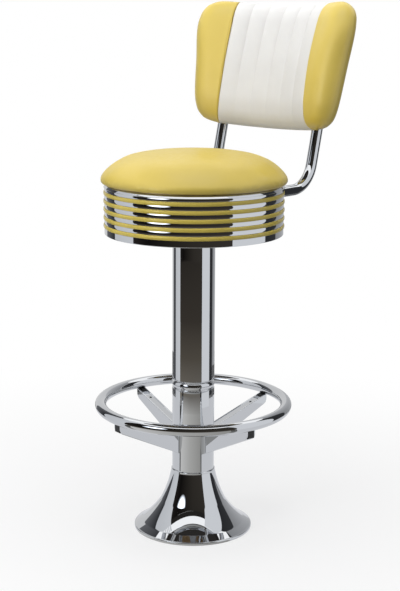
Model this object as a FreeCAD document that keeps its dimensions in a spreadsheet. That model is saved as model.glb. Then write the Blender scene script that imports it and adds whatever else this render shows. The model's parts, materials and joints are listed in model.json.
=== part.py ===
import FreeCAD, Part
import math
import os

import Sketcher
from FreeCAD import Placement, Rotation, Vector

# Diner counter stool, bolted to the floor, with a swivelling seat and a padded back.
# Millimetres, +Z up, origin on the column's axis at floor level, the sitter faces -Y.

os.makedirs("parts", exist_ok=True)
DOC = FreeCAD.newDocument("diner_counter_stool")
SHEET = DOC.addObject("Spreadsheet::Sheet", "Sizes")

ORIGIN_POINT = -1
VERTICAL_AXIS = -2
UP = Vector(0, 0, 1)

# Driving dimensions
DRIVING = {
    # Base and column
    "bell_radius": 119.3,
    "bell_rim_height": 5.8,
    "bell_height": 124.5,
    "bell_neck_stand": 1.75,
    "bell_wall": 1.6,
    "plate_radius": 95.0,
    "plate_thickness": 8.0,
    "anchor_circle": 150.0,
    "anchor_hole_radius": 5.5,
    "anchor_count": 4,
    "post_radius": 30.15,
    "post_wall": 3.2,
    "column_radius": 42.25,
    "hub_wall": 3.0,
    "column_wall": 2.6,
    "hub_rise": 35.6,
    "collar_height": 15.5,
    "collar_bead": 1.6,
    "column_top": 664.0,
    "edge_round": 2.2,
    # Footring and its arms
    "ring_radius": 186.4,
    "ring_tube_radius": 11.1,
    "ring_tube_wall": 1.5,
    "ring_level": 258.4,
    "arm_count": 4,
    "arm_turn": 11.0,
    "arm_end_inset": 2.1,
    "arm_width": 20.0,
    "arm_wall": 2.2,
    "arm_top_root_drop": 58.9,
    "arm_top_end_drop": 10.6,
    "arm_bottom_root_drop": 96.9,
    "arm_bottom_end_drop": 28.9,
    "arm_lip_depth": 1.4,
    "cap_length": 12.0,
    "vent_hole_radius": 2.6,
    "vent_hole_inset": 37.4,
    # Swivel
    "flange_thickness": 6.0,
    "socket_depth": 62.0,
    "bush_wall": 4.0,
    "bush_length": 18.0,
    "spindle_radius": 15.0,
    "race_clearance": 2.0,
    "race_width": 17.0,
    "race_thickness": 2.5,
    "ball_radius": 3.0,
    "ball_count": 16,
    "spindle_head_radius": 38.0,
    "spindle_head_thickness": 11.95,
    "nut_wall": 3.0,
    "nut_thickness": 10.0,
    "washer_thickness": 2.5,
    # Seat
    "seat_plate_size": 180.0,
    "seat_plate_thickness": 5.0,
    "plate_screw_spacing": 150.0,
    "board_radius": 170.0,
    "board_thickness": 12.0,
    "band_stand": 5.3,
    "band_rise": 4.7,
    "band_height": 97.1,
    "band_wall": 2.8,
    "band_lip_height": 6.0,
    "band_lip_stand": 1.3,
    "band_flange_width": 12.0,
    "band_flange_thickness": 1.2,
    "band_screw_inset": 6.0,
    "stripe_count": 5,
    "stripe_foot": 16.7,
    "stripe_pitch": 16.05,
    "stripe_height": 9.6,
    "stripe_depth": 1.6,
    "stripe_stand": 1.8,
    "cushion_overhang": 8.5,
    "cushion_seat_inset": 1.3,
    "cushion_side_rise": 10.8,
    "cushion_shoulder_rise": 30.8,
    "cushion_shoulder_inset": 11.6,
    "cushion_crown_inset": 54.0,
    "cushion_crown_drop": 12.1,
    "cushion_height": 63.1,
    # Back
    "tube_radius": 11.1,
    "tube_wall": 1.5,
    "tube_spacing": 248.0,
    "tube_gap": 0.1,
    "tube_front": -70.0,
    "tube_bend_radius": 60.0,
    "tube_back_reach": 25.7,
    "tube_rise": 150.0,
    "lean_angle": 13.8,
    "strap_width": 20.0,
    "strap_thickness": 2.0,
    "strap_ear": 11.0,
    "strap_front": -40.0,
    "strap_rear": 40.0,
    "pad_rise": 113.2,
    "pad_tube_inset": 9.52,
    "pad_curve_radius": 320.0,
    "pad_height": 253.0,
    "pad_bottom_half_width": 179.5,
    "pad_top_half_width": 198.5,
    "pad_bottom_corner": 42.0,
    "pad_top_corner": 33.0,
    "pad_front_depth": 39.0,
    "pad_rear_depth": 27.0,
    "centre_half_angle": 21.2,
    "flute_count": 6,
    "flute_depth": 3.6,
    "back_board_thickness": 8.0,
    "back_board_inset": 24.0,
    "back_board_corner": 20.0,
    # Fasteners and fits
    "screw_radius": 2.4,
    "screw_head_radius": 5.0,
    "screw_head_height": 3.4,
    "running_clearance": 0.05,
    "seat_clearance": 0.2,
    "soft_clearance": 0.3,
}


class Size:
    """A number together with the sheet formula that gives it."""

    def __init__(self, value, text):
        self.value = float(value)
        self.text = text

    def _join(self, other, value, sign):
        return Size(value, "(%s %s %s)" % (self.text, sign, other.text))

    def __add__(self, other):
        other = size(other)
        return self._join(other, self.value + other.value, "+")

    def __sub__(self, other):
        other = size(other)
        return self._join(other, self.value - other.value, "-")

    def __mul__(self, other):
        other = size(other)
        return self._join(other, self.value * other.value, "*")

    def __truediv__(self, other):
        other = size(other)
        return self._join(other, self.value / other.value, "/")

    def __radd__(self, other):
        return size(other) + self

    def __rsub__(self, other):
        return size(other) - self

    def __rmul__(self, other):
        return size(other) * self

    def __neg__(self):
        return size(0) - self

    def __float__(self):
        return self.value


def size(number):
    """A plain number becomes a size with its own text."""
    if isinstance(number, Size):
        return number
    text = repr(float(number))
    return Size(number, "(%s)" % text if number < 0 else text)


def fill_sheet():
    """Write every driving dimension into the sheet and give it its alias."""
    for row, (alias, number) in enumerate(DRIVING.items(), start=1):
        SHEET.set("A%d" % row, alias.replace("_", " "))
        SHEET.set("B%d" % row, str(number))
        SHEET.setAlias("B%d" % row, alias)
    DOC.recompute()


def sheet(alias):
    """The sheet's value of one driving dimension."""
    return Size(SHEET.get(alias), "Sizes." + alias)


def trig(name, angle):
    """Sine, cosine or tangent of an angle in degrees."""
    return Size(getattr(math, name)(math.radians(angle.value)), "%s(%s)" % (name, angle.text))


BOUND = []
NODES = []


def bind(thing, prop, value):
    """Tie one property of an object to a sheet formula."""
    value = size(value)
    thing.setExpression(prop, value.text)
    BOUND.append((thing, prop, value.value))


def keep(thing, label):
    """Name an object as one piece of the stool."""
    thing.Label = label
    NODES.append(thing)
    return thing


def place(thing, x=0, y=0, z=0):
    """Put an object at a point given by sheet formulas."""
    for axis, value in zip("xyz", (x, y, z)):
        if not (isinstance(value, (int, float)) and value == 0):
            bind(thing, "Placement.Base." + axis, value)
    return thing


# Sketches

def sketch_on(body, role, name):
    """A sketch on one of the body's own origin planes."""
    sketch = body.newObject("Sketcher::SketchObject", name)
    plane = [item for item in body.Origin.OriginFeatures if item.Role == role][0]
    sketch.AttachmentSupport = (plane, [""])
    sketch.MapMode = "FlatFace"
    return sketch


def pin_point(sketch, geometry, position, x, y):
    """Fix a sketch point at two sheet formulas."""
    for kind, value in (("DistanceX", size(x)), ("DistanceY", size(y))):
        number = sketch.addConstraint(
            Sketcher.Constraint(kind, ORIGIN_POINT, 1, geometry, position, value.value))
        bind(sketch, "Constraints[%d]" % number, value)


def end_of(sketch, geometry, x, y):
    """Which end of a line or arc lies at a point."""
    gaps = []
    for position in (1, 2):
        point = sketch.getPoint(geometry, position)
        gaps.append(math.hypot(point.x - float(x), point.y - float(y)))
    return 1 if gaps[0] < gaps[1] else 2


def trace(sketch, corners, closed=True):
    """Draw lines and arcs through corners; a corner (x, y, vx, vy) ends an arc by way of (vx, vy)."""
    corners = [tuple(size(number) for number in corner) for corner in corners]
    pieces = []
    first = 0 if closed else 1
    for index in range(first, len(corners)):
        start = corners[index - 1]
        end = corners[index]
        p1 = Vector(start[0].value, start[1].value, 0)
        p2 = Vector(end[0].value, end[1].value, 0)
        if len(end) == 4:
            via = Vector(end[2].value, end[3].value, 0)
            geometry = sketch.addGeometry(Part.Arc(p1, via, p2), False)
            marker = sketch.addGeometry(Part.Point(via), True)
            pin_point(sketch, marker, 1, end[2], end[3])
            sketch.addConstraint(Sketcher.Constraint("PointOnObject", marker, 1, geometry))
        else:
            geometry = sketch.addGeometry(Part.LineSegment(p1, p2), False)
        pieces.append((geometry, start, end))
    for index, (geometry, start, end) in enumerate(pieces):
        tail = end_of(sketch, geometry, end[0], end[1])
        pin_point(sketch, geometry, tail, end[0], end[1])
        if closed or index > 0:
            before = pieces[index - 1][0]
            head = 3 - tail
            joint = end_of(sketch, before, start[0], start[1])
            sketch.addConstraint(Sketcher.Constraint("Coincident", before, joint, geometry, head))
        else:
            pin_point(sketch, geometry, 3 - tail, start[0], start[1])


def ring_outline(sketch, x, y, radius):
    """Draw a circle whose centre and radius follow the sheet."""
    centre = Vector(float(x), float(y), 0)
    geometry = sketch.addGeometry(Part.Circle(centre, UP, float(radius)), False)
    number = sketch.addConstraint(Sketcher.Constraint("Radius", geometry, float(radius)))
    bind(sketch, "Constraints[%d]" % number, radius)
    pin_point(sketch, geometry, 3, x, y)


# Solids

def new_body(name):
    """An empty body."""
    return DOC.addObject("PartDesign::Body", name)


def turned(name, corners):
    """A body turned about the Z axis from an outline in radius and height."""
    body = new_body(name)
    outline = sketch_on(body, "XZ_Plane", name + "_outline")
    trace(outline, corners)
    turn = body.newObject("PartDesign::Revolution", name + "_turn")
    turn.Profile = outline
    turn.ReferenceAxis = (outline, ["V_Axis"])
    turn.Angle = 360
    return body


def tube_outline(inner, outer, bottom, top):
    """The outline of a plain ring in radius and height."""
    return [(inner, bottom), (outer, bottom), (outer, top), (inner, top)]


def cylinder(name, radius, height, x=0, y=0, z=0, axis=UP):
    """A plain cylinder that starts at a point and runs along an axis."""
    rod = DOC.addObject("Part::Cylinder", name)
    bind(rod, "Radius", radius)
    bind(rod, "Height", height)
    rod.Placement = Placement(Vector(), Rotation(UP, axis))
    return place(rod, x, y, z)


def box(name, length, width, height, x=0, y=0, z=0):
    """A plain box from its low corner."""
    block = DOC.addObject("Part::Box", name)
    bind(block, "Length", length)
    bind(block, "Width", width)
    bind(block, "Height", height)
    return place(block, x, y, z)


def fuse(name, pieces):
    """One solid from several."""
    joined = DOC.addObject("Part::MultiFuse", name)
    joined.Shapes = pieces
    return joined


def cut(name, base, tools):
    """A piece with one or more others taken out of it."""
    tool = tools[0] if len(tools) == 1 else fuse(name + "_tools", tools)
    less = DOC.addObject("Part::Cut", name)
    less.Base = base
    less.Tool = tool
    return less


def group(label, pieces):
    """Like fasteners as separate solids of one node."""
    bundle = DOC.addObject("Part::Compound", label)
    bundle.Links = pieces
    return keep(bundle, label)


def screw(name, x, y, head_z, length):
    """A round-headed wood screw, pointing up, with its head below head_z."""
    head = cylinder(name + "_head", SCREW_HEAD_RADIUS, SCREW_HEAD_HEIGHT, x, y, head_z - SCREW_HEAD_HEIGHT)
    shank = cylinder(name + "_shank", SCREW_RADIUS, length, x, y, head_z)
    return fuse(name, [head, shank])


# Base

def floor_plate():
    """Steel disc bolted to the floor under the bell."""
    body = new_body("floor_plate")
    outline = sketch_on(body, "XY_Plane", "floor_plate_outline")
    ring_outline(outline, 0, 0, sheet("plate_radius"))
    pad = body.newObject("PartDesign::Pad", "floor_plate_disc")
    pad.Profile = outline
    bind(pad, "Length", PLATE_THICKNESS)
    DOC.recompute()
    holes = sketch_on(body, "XY_Plane", "floor_plate_hole")
    ring_outline(holes, sheet("anchor_circle") / 2, 0, sheet("anchor_hole_radius"))
    pocket = body.newObject("PartDesign::Pocket", "floor_plate_anchor_hole")
    pocket.Profile = holes
    pocket.Type = "ThroughAll"
    pocket.Reversed = True
    pattern = body.newObject("PartDesign::PolarPattern", "floor_plate_anchor_holes")
    pattern.Originals = [pocket]
    pattern.Axis = (holes, ["N_Axis"])
    pattern.Angle = 360
    bind(pattern, "Occurrences", sheet("anchor_count"))
    body.Tip = pattern
    return keep(body, "floor_plate")


def inner_post():
    """Steel pipe that carries the seat."""
    outline = tube_outline(POST_RADIUS - POST_WALL, POST_RADIUS, PLATE_THICKNESS, COLUMN_TOP)
    return keep(turned("inner_post", outline), "inner_post")


def base_bell():
    """Pressed trumpet cover, open below, centred on the post by its top flange."""
    radius = sheet("bell_radius")
    rim = sheet("bell_rim_height")
    height = BELL_HEIGHT
    neck = COLUMN_RADIUS + sheet("bell_neck_stand")
    wall = sheet("bell_wall")
    bore = POST_RADIUS + SEAT_CLEARANCE
    toe = (radius - 16.0, rim + 9.0)
    waist = (neck + 22.0, height * 0.455)
    middle = (neck + 8.0, height * 0.722)
    sweep = (neck + 39.6, height * 0.27)
    corners = [
        (bore, height - wall),
        (neck - wall - 1.0, height - wall),
        (neck - wall, height - 2.7, neck - wall - 0.25, height - wall - 0.3),
        (waist[0] - wall * 0.86, waist[1] - wall * 0.51, middle[0] - wall * 0.95, middle[1] - wall * 0.32),
        (toe[0] - wall * 0.635, toe[1] - wall * 0.77, sweep[0] - wall * 0.746, sweep[1] - wall * 0.666),
        (radius - wall, rim - wall),
        (radius - wall, 0),
        (radius, 0),
        (radius, rim - 1.5),
        (radius - 1.5, rim, radius - 0.44, rim - 0.44),
        (toe[0], toe[1]),
        (waist[0], waist[1], sweep[0], sweep[1]),
        (neck, height - 2.5, middle[0], middle[1]),
        (neck - 2.0, height, neck - 0.5, height - 0.6),
        (bore, height),
    ]
    return keep(turned("base_bell", corners), "base_bell")


def footring_hub():
    """Sleeve that carries the four arms, standing on the bell."""
    inner = COLUMN_RADIUS - sheet("hub_wall")
    corners = [
        (inner, BELL_HEIGHT),
        (COLUMN_RADIUS, BELL_HEIGHT),
        (COLUMN_RADIUS, HUB_TOP - 1.5),
        (COLUMN_RADIUS - 1.5, HUB_TOP, COLUMN_RADIUS - 0.44, HUB_TOP - 0.44),
        (inner, HUB_TOP),
    ]
    return keep(turned("footring_hub", corners), "footring_hub")


def joint_collar():
    """Beaded ring between the two sleeves, centred on the post."""
    bore = POST_RADIUS + SEAT_CLEARANCE
    spigot = COLUMN_RADIUS - sheet("hub_wall") - SEAT_CLEARANCE
    step = 5.0
    edge = COLUMN_RADIUS - sheet("collar_bead")
    corners = [
        (bore, HUB_TOP - step),
        (spigot, HUB_TOP - step),
        (spigot, HUB_TOP),
        (edge, HUB_TOP),
        (edge, HUB_TOP + 1.2),
        (edge, COLLAR_TOP - 2.4, COLUMN_RADIUS + 0.3, (HUB_TOP + COLLAR_TOP - 1.2) / 2),
        (edge - 1.0, COLLAR_TOP - 1.4),
        (edge - 1.0, COLLAR_TOP),
        (spigot, COLLAR_TOP),
        (spigot, COLLAR_TOP + step),
        (bore, COLLAR_TOP + step),
    ]
    return keep(turned("joint_collar", corners), "joint_collar")


def upper_column():
    """Bright sleeve from the collar up to the swivel."""
    inner = COLUMN_RADIUS - sheet("column_wall")
    roll = sheet("edge_round")
    corners = [
        (inner, COLLAR_TOP),
        (COLUMN_RADIUS - roll, COLLAR_TOP),
        (COLUMN_RADIUS, COLLAR_TOP + roll, COLUMN_RADIUS - roll * 0.293, COLLAR_TOP + roll * 0.293),
        (COLUMN_RADIUS, COLUMN_TOP),
        (inner, COLUMN_TOP),
    ]
    return keep(turned("upper_column", corners), "upper_column")


# Footring

def footring():
    """Closed ring of bent tube that the feet rest on."""
    outer = DOC.addObject("Part::Torus", "footring_outer")
    bore = DOC.addObject("Part::Torus", "footring_bore")
    for ring, radius in ((outer, RING_TUBE_RADIUS), (bore, RING_TUBE_RADIUS - sheet("ring_tube_wall"))):
        bind(ring, "Radius1", RING_RADIUS)
        bind(ring, "Radius2", radius)
        place(ring, 0, 0, RING_LEVEL)
    return keep(cut("footring", outer, [bore]), "footring")


def padded(body, name, corners, width):
    """Thicken a side outline of the body evenly about its XZ plane."""
    outline = sketch_on(body, "XZ_Plane", name + "_side")
    trace(outline, corners)
    pad = body.newObject("PartDesign::Pad", name)
    pad.Profile = outline
    pad.SideType = "Symmetric"
    bind(pad, "Length", width)
    return pad


def pocketed(body, name, corners, width):
    """Cut a side outline out of the body evenly about its XZ plane."""
    outline = sketch_on(body, "XZ_Plane", name + "_side")
    trace(outline, corners)
    pocket = body.newObject("PartDesign::Pocket", name)
    pocket.Profile = outline
    pocket.SideType = "Symmetric"
    bind(pocket, "Length", width)
    return pocket


def arm_line(level_root, level_end):
    """Height of one long edge of an arm at a radius."""
    run = ARM_END - COLUMN_RADIUS

    def height(radius):
        return level_root + (level_end - level_root) * (size(radius) - COLUMN_RADIUS) / run
    return height


def arm_lines():
    """The top and the bottom edge of an arm."""
    top = arm_line(RING_LEVEL - sheet("arm_top_root_drop"), RING_LEVEL - sheet("arm_top_end_drop"))
    bottom = arm_line(RING_LEVEL - sheet("arm_bottom_root_drop"), RING_LEVEL - sheet("arm_bottom_end_drop"))
    return top, bottom


def footring_arm(index):
    """Tapered channel arm from the hub out to the underside of the ring."""
    name = "footring_arm_%d" % index
    top, bottom = arm_lines()
    root = COLUMN_RADIUS * 0.7
    end = ARM_END
    wall = ARM_WALL
    lip = ARM_LIP
    inner_width = ARM_WIDTH - wall * 2
    plug = CAP_LENGTH
    body = new_body(name + "_body")
    padded(body, name + "_blank", [
        (root, bottom(root)),
        (end - 7.0, bottom(end - 7.0)),
        (end, bottom(end) + 6.0, end - 1.6, bottom(end) + 0.9),
        (end, top(end)),
        (root, top(root)),
    ], ARM_WIDTH)
    pocketed(body, name + "_channel", [
        (root, top(root) - lip),
        (end, top(end) - lip),
        (end, top(end) + 1.0),
        (root, top(root) + 1.0),
    ], inner_width)
    pocketed(body, name + "_hollow", [
        (root, bottom(root) + wall),
        (end - plug - wall, bottom(end - plug - wall) + wall),
        (end - plug - wall, top(end - plug - wall) - lip - wall),
        (root, top(root) - lip - wall),
    ], inner_width)
    pocketed(body, name + "_socket", [
        (end - plug, bottom(end - plug) + wall),
        (end - 7.0, bottom(end - 7.0) + wall),
        (end + 1.0, bottom(end) + 8.0),
        (end + 1.0, top(end) + 1.0),
        (end - plug, top(end - plug) + 1.0),
    ], inner_width)
    hub = cylinder(name + "_hub_space", COLUMN_RADIUS, HUB_TOP)
    ring = DOC.addObject("Part::Torus", name + "_ring_space")
    bind(ring, "Radius1", RING_RADIUS)
    bind(ring, "Radius2", RING_TUBE_RADIUS + SEAT_CLEARANCE)
    place(ring, 0, 0, RING_LEVEL)
    vent_place = RING_RADIUS - sheet("vent_hole_inset")
    vent = cylinder(name + "_vent", sheet("vent_hole_radius"), 14.0, vent_place, 0, top(vent_place) - 9.0)
    arm = cut(name, body, [hub, ring, vent])
    arm.Placement = Placement(Vector(), Rotation(UP, arm_angle(index)))
    return keep(arm, name)


def arm_angle(index):
    """Direction of an arm in degrees, measured from +X."""
    return -sheet("arm_turn").value + 360.0 / sheet("arm_count").value * (index - 1)


def arm_cap(index):
    """Plastic plug in the open end of an arm."""
    name = "arm_cap_%d" % index
    top, bottom = arm_lines()
    end = ARM_END
    gap = 0.1
    start = end - CAP_LENGTH + gap
    body = new_body(name + "_body")
    padded(body, name + "_plug", [
        (start, bottom(start) + ARM_WALL + gap),
        (end - 7.0, bottom(end - 7.0) + ARM_WALL + gap),
        (end, bottom(end) + 8.0),
        (end, top(end) - 0.4),
        (start, top(start) - 0.4),
    ], ARM_WIDTH - ARM_WALL * 2 - gap * 2)
    ring = DOC.addObject("Part::Torus", name + "_ring_space")
    bind(ring, "Radius1", RING_RADIUS)
    bind(ring, "Radius2", RING_TUBE_RADIUS + SEAT_CLEARANCE)
    place(ring, 0, 0, RING_LEVEL)
    cap = cut(name, body, [ring])
    cap.Placement = Placement(Vector(), Rotation(UP, arm_angle(index)))
    return keep(cap, name)


# Swivel

def swivel_socket():
    """Flanged steel hub set in the top of the post, bored for two bushes."""
    spigot = POST_RADIUS - POST_WALL
    bore = SPINDLE_RADIUS + RUNNING + BUSH_WALL
    bottom = COLUMN_TOP - sheet("socket_depth")
    corners = [
        (bore, bottom),
        (spigot, bottom),
        (spigot, COLUMN_TOP),
        (COLUMN_RADIUS, COLUMN_TOP),
        (COLUMN_RADIUS, FLANGE_TOP),
        (bore, FLANGE_TOP),
    ]
    return keep(turned("swivel_socket", corners), "swivel_socket")


def bush(label, bottom, top):
    """Plain bronze bush that the spindle turns in."""
    inner = SPINDLE_RADIUS + RUNNING
    return keep(turned(label, tube_outline(inner, inner + BUSH_WALL, bottom, top)), label)


def race(label, bottom):
    """Flat hardened washer that the balls run on."""
    return keep(turned(label, tube_outline(RACE_INNER, RACE_OUTER, bottom, bottom + RACE_THICKNESS)), label)


def bearing_balls():
    """Ring of steel balls between the two races."""
    balls = []
    for index in range(int(sheet("ball_count").value)):
        ball = DOC.addObject("Part::Sphere", "ball_%d" % index)
        bind(ball, "Radius", BALL_RADIUS)
        turn = Size(360.0 * index / sheet("ball_count").value, "(%d * 360 / Sizes.ball_count)" % index)
        place(ball, BALL_CIRCLE * trig("cos", turn), BALL_CIRCLE * trig("sin", turn), BALL_LEVEL)
        balls.append(ball)
    return group("bearing_balls", balls)


def bearing_cage():
    """Thin ring that spaces the balls."""
    half = 0.8
    rest = 0.25
    blank = turned("bearing_cage_blank", tube_outline(
        BALL_CIRCLE - 5.5, BALL_CIRCLE + 5.5, BALL_LEVEL - half, BALL_LEVEL + half))
    pockets = []
    for index in range(int(sheet("ball_count").value)):
        turn = Size(360.0 * index / sheet("ball_count").value, "(%d * 360 / Sizes.ball_count)" % index)
        pockets.append(cylinder("cage_pocket_%d" % index, BALL_RADIUS + rest, half * 4,
                                BALL_CIRCLE * trig("cos", turn), BALL_CIRCLE * trig("sin", turn),
                                BALL_LEVEL - half * 2))
    return keep(cut("bearing_cage", blank, pockets), "bearing_cage")


def swivel_spindle():
    """Shaft that turns in the bushes, with a broad head under the seat plate."""
    foot = SOCKET_BOTTOM - sheet("washer_thickness") - NUT_THICKNESS - 4.0
    head = sheet("spindle_head_radius")
    corners = [
        (0, foot),
        (SPINDLE_RADIUS - 1.0, foot),
        (SPINDLE_RADIUS, foot + 1.0),
        (SPINDLE_RADIUS, HEAD_BOTTOM),
        (head, HEAD_BOTTOM),
        (head, SEAT_PLATE_BOTTOM),
        (0, SEAT_PLATE_BOTTOM),
    ]
    return keep(turned("swivel_spindle", corners), "swivel_spindle")


def spindle_washer():
    """Washer between the socket and the nut."""
    top = SOCKET_BOTTOM - SEAT_CLEARANCE
    inner = SPINDLE_RADIUS + 0.1
    outline = tube_outline(inner, POST_RADIUS - POST_WALL - 4.0, top - sheet("washer_thickness"), top)
    return keep(turned("spindle_washer", outline), "spindle_washer")


def spindle_nut():
    """Hexagon nut that keeps the spindle in the socket."""
    flats = (SPINDLE_RADIUS + sheet("nut_wall")) * 2
    top = SOCKET_BOTTOM - SEAT_CLEARANCE - sheet("washer_thickness")
    body = new_body("spindle_nut")
    outline = sketch_on(body, "XY_Plane", "spindle_nut_outline")
    reach = flats / 2 / trig("cos", size(30.0))
    corners = []
    for index in range(6):
        turn = size(60.0 * index)
        corners.append((reach * trig("cos", turn), reach * trig("sin", turn)))
    trace(outline, corners)
    ring_outline(outline, 0, 0, SPINDLE_RADIUS)
    pad = body.newObject("PartDesign::Pad", "spindle_nut_pad")
    pad.Profile = outline
    bind(pad, "Length", NUT_THICKNESS)
    place(body, 0, 0, top - NUT_THICKNESS)
    return keep(body, "spindle_nut")


# Seat

def corner_points(half):
    """Four points at plus and minus half on X and Y."""
    return [(half * sx, half * sy) for sx in (-1, 1) for sy in (-1, 1)]


def seat_plate():
    """Square steel plate on the spindle's head, screwed under the seat board."""
    side = sheet("seat_plate_size")
    half = side / 2
    round_off = 14.0
    inset = 4.1
    body = new_body("seat_plate")
    outline = sketch_on(body, "XY_Plane", "seat_plate_outline")
    trace(outline, [
        (half - round_off, -half),
        (half, -half + round_off, half - inset, -half + inset),
        (half, half - round_off),
        (half - round_off, half, half - inset, half - inset),
        (-half + round_off, half),
        (-half, half - round_off, -half + inset, half - inset),
        (-half, -half + round_off),
        (-half + round_off, -half, -half + inset, -half + inset),
    ])
    for x, y in corner_points(PLATE_SCREW_HALF):
        ring_outline(outline, x, y, SCREW_RADIUS + SEAT_CLEARANCE)
    pad = body.newObject("PartDesign::Pad", "seat_plate_pad")
    pad.Profile = outline
    bind(pad, "Length", sheet("seat_plate_thickness"))
    place(body, 0, 0, SEAT_PLATE_BOTTOM)
    return keep(body, "seat_plate")


def band_screw_points():
    """Six points round the band's flange."""
    circle = sheet("board_radius") - sheet("band_screw_inset")
    points = []
    for index in range(6):
        turn = size(60.0 * index)
        points.append((circle * trig("cos", turn), circle * trig("sin", turn)))
    return points


def strap_points():
    """Left and right, front and rear places of the tube straps."""
    return [(x, y) for x in (-TUBE_HALF, TUBE_HALF) for y in (sheet("strap_front"), sheet("strap_rear"))]


def strap_screw_points():
    """One screw through each ear of each strap."""
    reach = TUBE_RADIUS + sheet("strap_thickness") + sheet("strap_ear") / 2
    return [(x + reach * side, y) for x, y in strap_points() for side in (-1, 1)]


def seat_board():
    """Plywood disc with pilot holes for every screw that enters it."""
    blank = turned("seat_board_blank", tube_outline(
        size(0), sheet("board_radius"), BOARD_LEVEL, BOARD_LEVEL + BOARD_THICKNESS))
    points = corner_points(PLATE_SCREW_HALF) + band_screw_points() + strap_screw_points()
    pilots = [cylinder("board_pilot_%d" % index, SCREW_RADIUS + SEAT_CLEARANCE / 2, BOARD_THICKNESS - 2.0,
                       x, y, BOARD_LEVEL)
              for index, (x, y) in enumerate(points)]
    return keep(cut("seat_board", blank, pilots), "seat_board")


def plate_screws():
    """Four screws from the seat plate up into the board."""
    return group("plate_screws", [
        screw("plate_screw_%d" % index, x, y, SEAT_PLATE_BOTTOM, sheet("seat_plate_thickness") + 8.0)
        for index, (x, y) in enumerate(corner_points(PLATE_SCREW_HALF))])


def band_screws():
    """Six screws from the band's flange up into the board."""
    return group("band_screws", [
        screw("band_screw_%d" % index, x, y, BOARD_LEVEL - FLANGE_SHEET, FLANGE_SHEET + 8.0)
        for index, (x, y) in enumerate(band_screw_points())])


def tube_spaces(name, front, length):
    """Two rods along Y, a little larger than the back tubes."""
    return [cylinder("%s_tube_space_%d" % (name, side), TUBE_RADIUS + SEAT_CLEARANCE * 2, length,
                     TUBE_HALF * side, front, TUBE_LEVEL, Vector(0, 1, 0))
            for side in (-1, 1)]


def seat_band():
    """Bright band round the seat, with a lip on top and five grooves."""
    outer = BAND_RADIUS
    inner = outer - sheet("band_wall")
    lip = outer + sheet("band_lip_stand")
    bottom = BAND_BOTTOM
    top = BAND_TOP
    lip_bottom = top - sheet("band_lip_height")
    body = turned("seat_band_body", [
        (inner, bottom),
        (outer - 2.0, bottom),
        (outer, bottom + 2.0, outer - 0.6, bottom + 0.6),
        (outer, lip_bottom),
        (lip, lip_bottom + 1.3, lip - 0.25, lip_bottom + 0.5),
        (lip, top - 2.0),
        (lip - 2.0, top, lip - 0.6, top - 0.6),
        (inner, top),
    ])
    DOC.recompute()
    outline = sketch_on(body, "XZ_Plane", "seat_band_groove_outline")
    low = STRIPE_LOWEST - STRIPE_HEIGHT / 2
    trace(outline, tube_outline(outer - STRIPE_DEPTH, outer + 1.0, low, low + STRIPE_HEIGHT))
    groove = body.newObject("PartDesign::Groove", "seat_band_groove")
    groove.Profile = outline
    groove.ReferenceAxis = (outline, ["V_Axis"])
    groove.Angle = 360
    pattern = body.newObject("PartDesign::LinearPattern", "seat_band_grooves")
    pattern.Originals = [groove]
    pattern.Direction = (outline, ["V_Axis"])
    bind(pattern, "Length", STRIPE_PITCH * (sheet("stripe_count") - 1))
    bind(pattern, "Occurrences", sheet("stripe_count"))
    body.Tip = pattern
    return keep(cut("seat_band", body, tube_spaces("seat_band", size(90.0), size(120.0))), "seat_band")


def band_ring():
    """Flat steel ring welded inside the band and screwed up under the board."""
    outer = BAND_RADIUS - sheet("band_wall") - SEAT_CLEARANCE
    inner = sheet("board_radius") - sheet("band_flange_width")
    bottom = BOARD_LEVEL - FLANGE_SHEET
    blank = turned("band_ring_blank", tube_outline(inner, outer, bottom, BOARD_LEVEL))
    holes = [cylinder("ring_hole_%d" % index, SCREW_RADIUS + SEAT_CLEARANCE, 12.0, x, y, bottom - 4.0)
             for index, (x, y) in enumerate(band_screw_points())]
    holes += tube_spaces("band_ring", size(90.0), size(120.0))
    return keep(cut("band_ring", blank, holes), "band_ring")


def turned_stripe(name, root, level, half):
    """A ring with a flat back and a half-round front."""
    return turned(name, [
        (root, level - half),
        (BAND_RADIUS, level - half),
        (BAND_RADIUS, level + half, BAND_RADIUS + sheet("stripe_stand"), level),
        (root, level + half),
    ])


def band_stripe(index):
    """Coloured half-round strip set in one groove of the band."""
    name = "band_stripe_%d" % index
    level = STRIPE_LOWEST + STRIPE_PITCH * (index - 1)
    half = STRIPE_HEIGHT / 2 - 0.05
    root = BAND_RADIUS - STRIPE_DEPTH + 0.05
    stripe = turned_stripe(name + "_ring", root, level, half)
    hole = TUBE_RADIUS + SEAT_CLEARANCE * 2
    if abs(float(level) - float(TUBE_LEVEL)) > float(half) + float(hole):
        return keep(stripe, name)
    rear = box(name + "_rear_space", TUBE_HALF * 2, BAND_RADIUS * 2, STRIPE_HEIGHT * 2,
               -TUBE_HALF, 0, level - STRIPE_HEIGHT)
    keep(cut(name, stripe, tube_spaces(name, size(90.0), size(120.0)) + [rear]), name)
    behind = DOC.addObject("Part::Common", name + "_behind")
    behind.Base = turned_stripe(name + "_rear_ring", root, level, half)
    behind.Tool = box(name + "_rear_part", TUBE_HALF * 2, BAND_RADIUS * 2, STRIPE_HEIGHT * 2,
                      -TUBE_HALF, 0, level - STRIPE_HEIGHT)
    return keep(cut(name + "_rear", behind, tube_spaces(name + "_rear", size(90.0), size(120.0))), name + "_rear")


def revolved_shape(edges):
    """A solid turned about the Z axis from edges in the XZ plane."""
    face = Part.Face(Part.Wire(Part.__sortEdges__(edges)))
    return face.revolve(Vector(), UP, 360)


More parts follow.
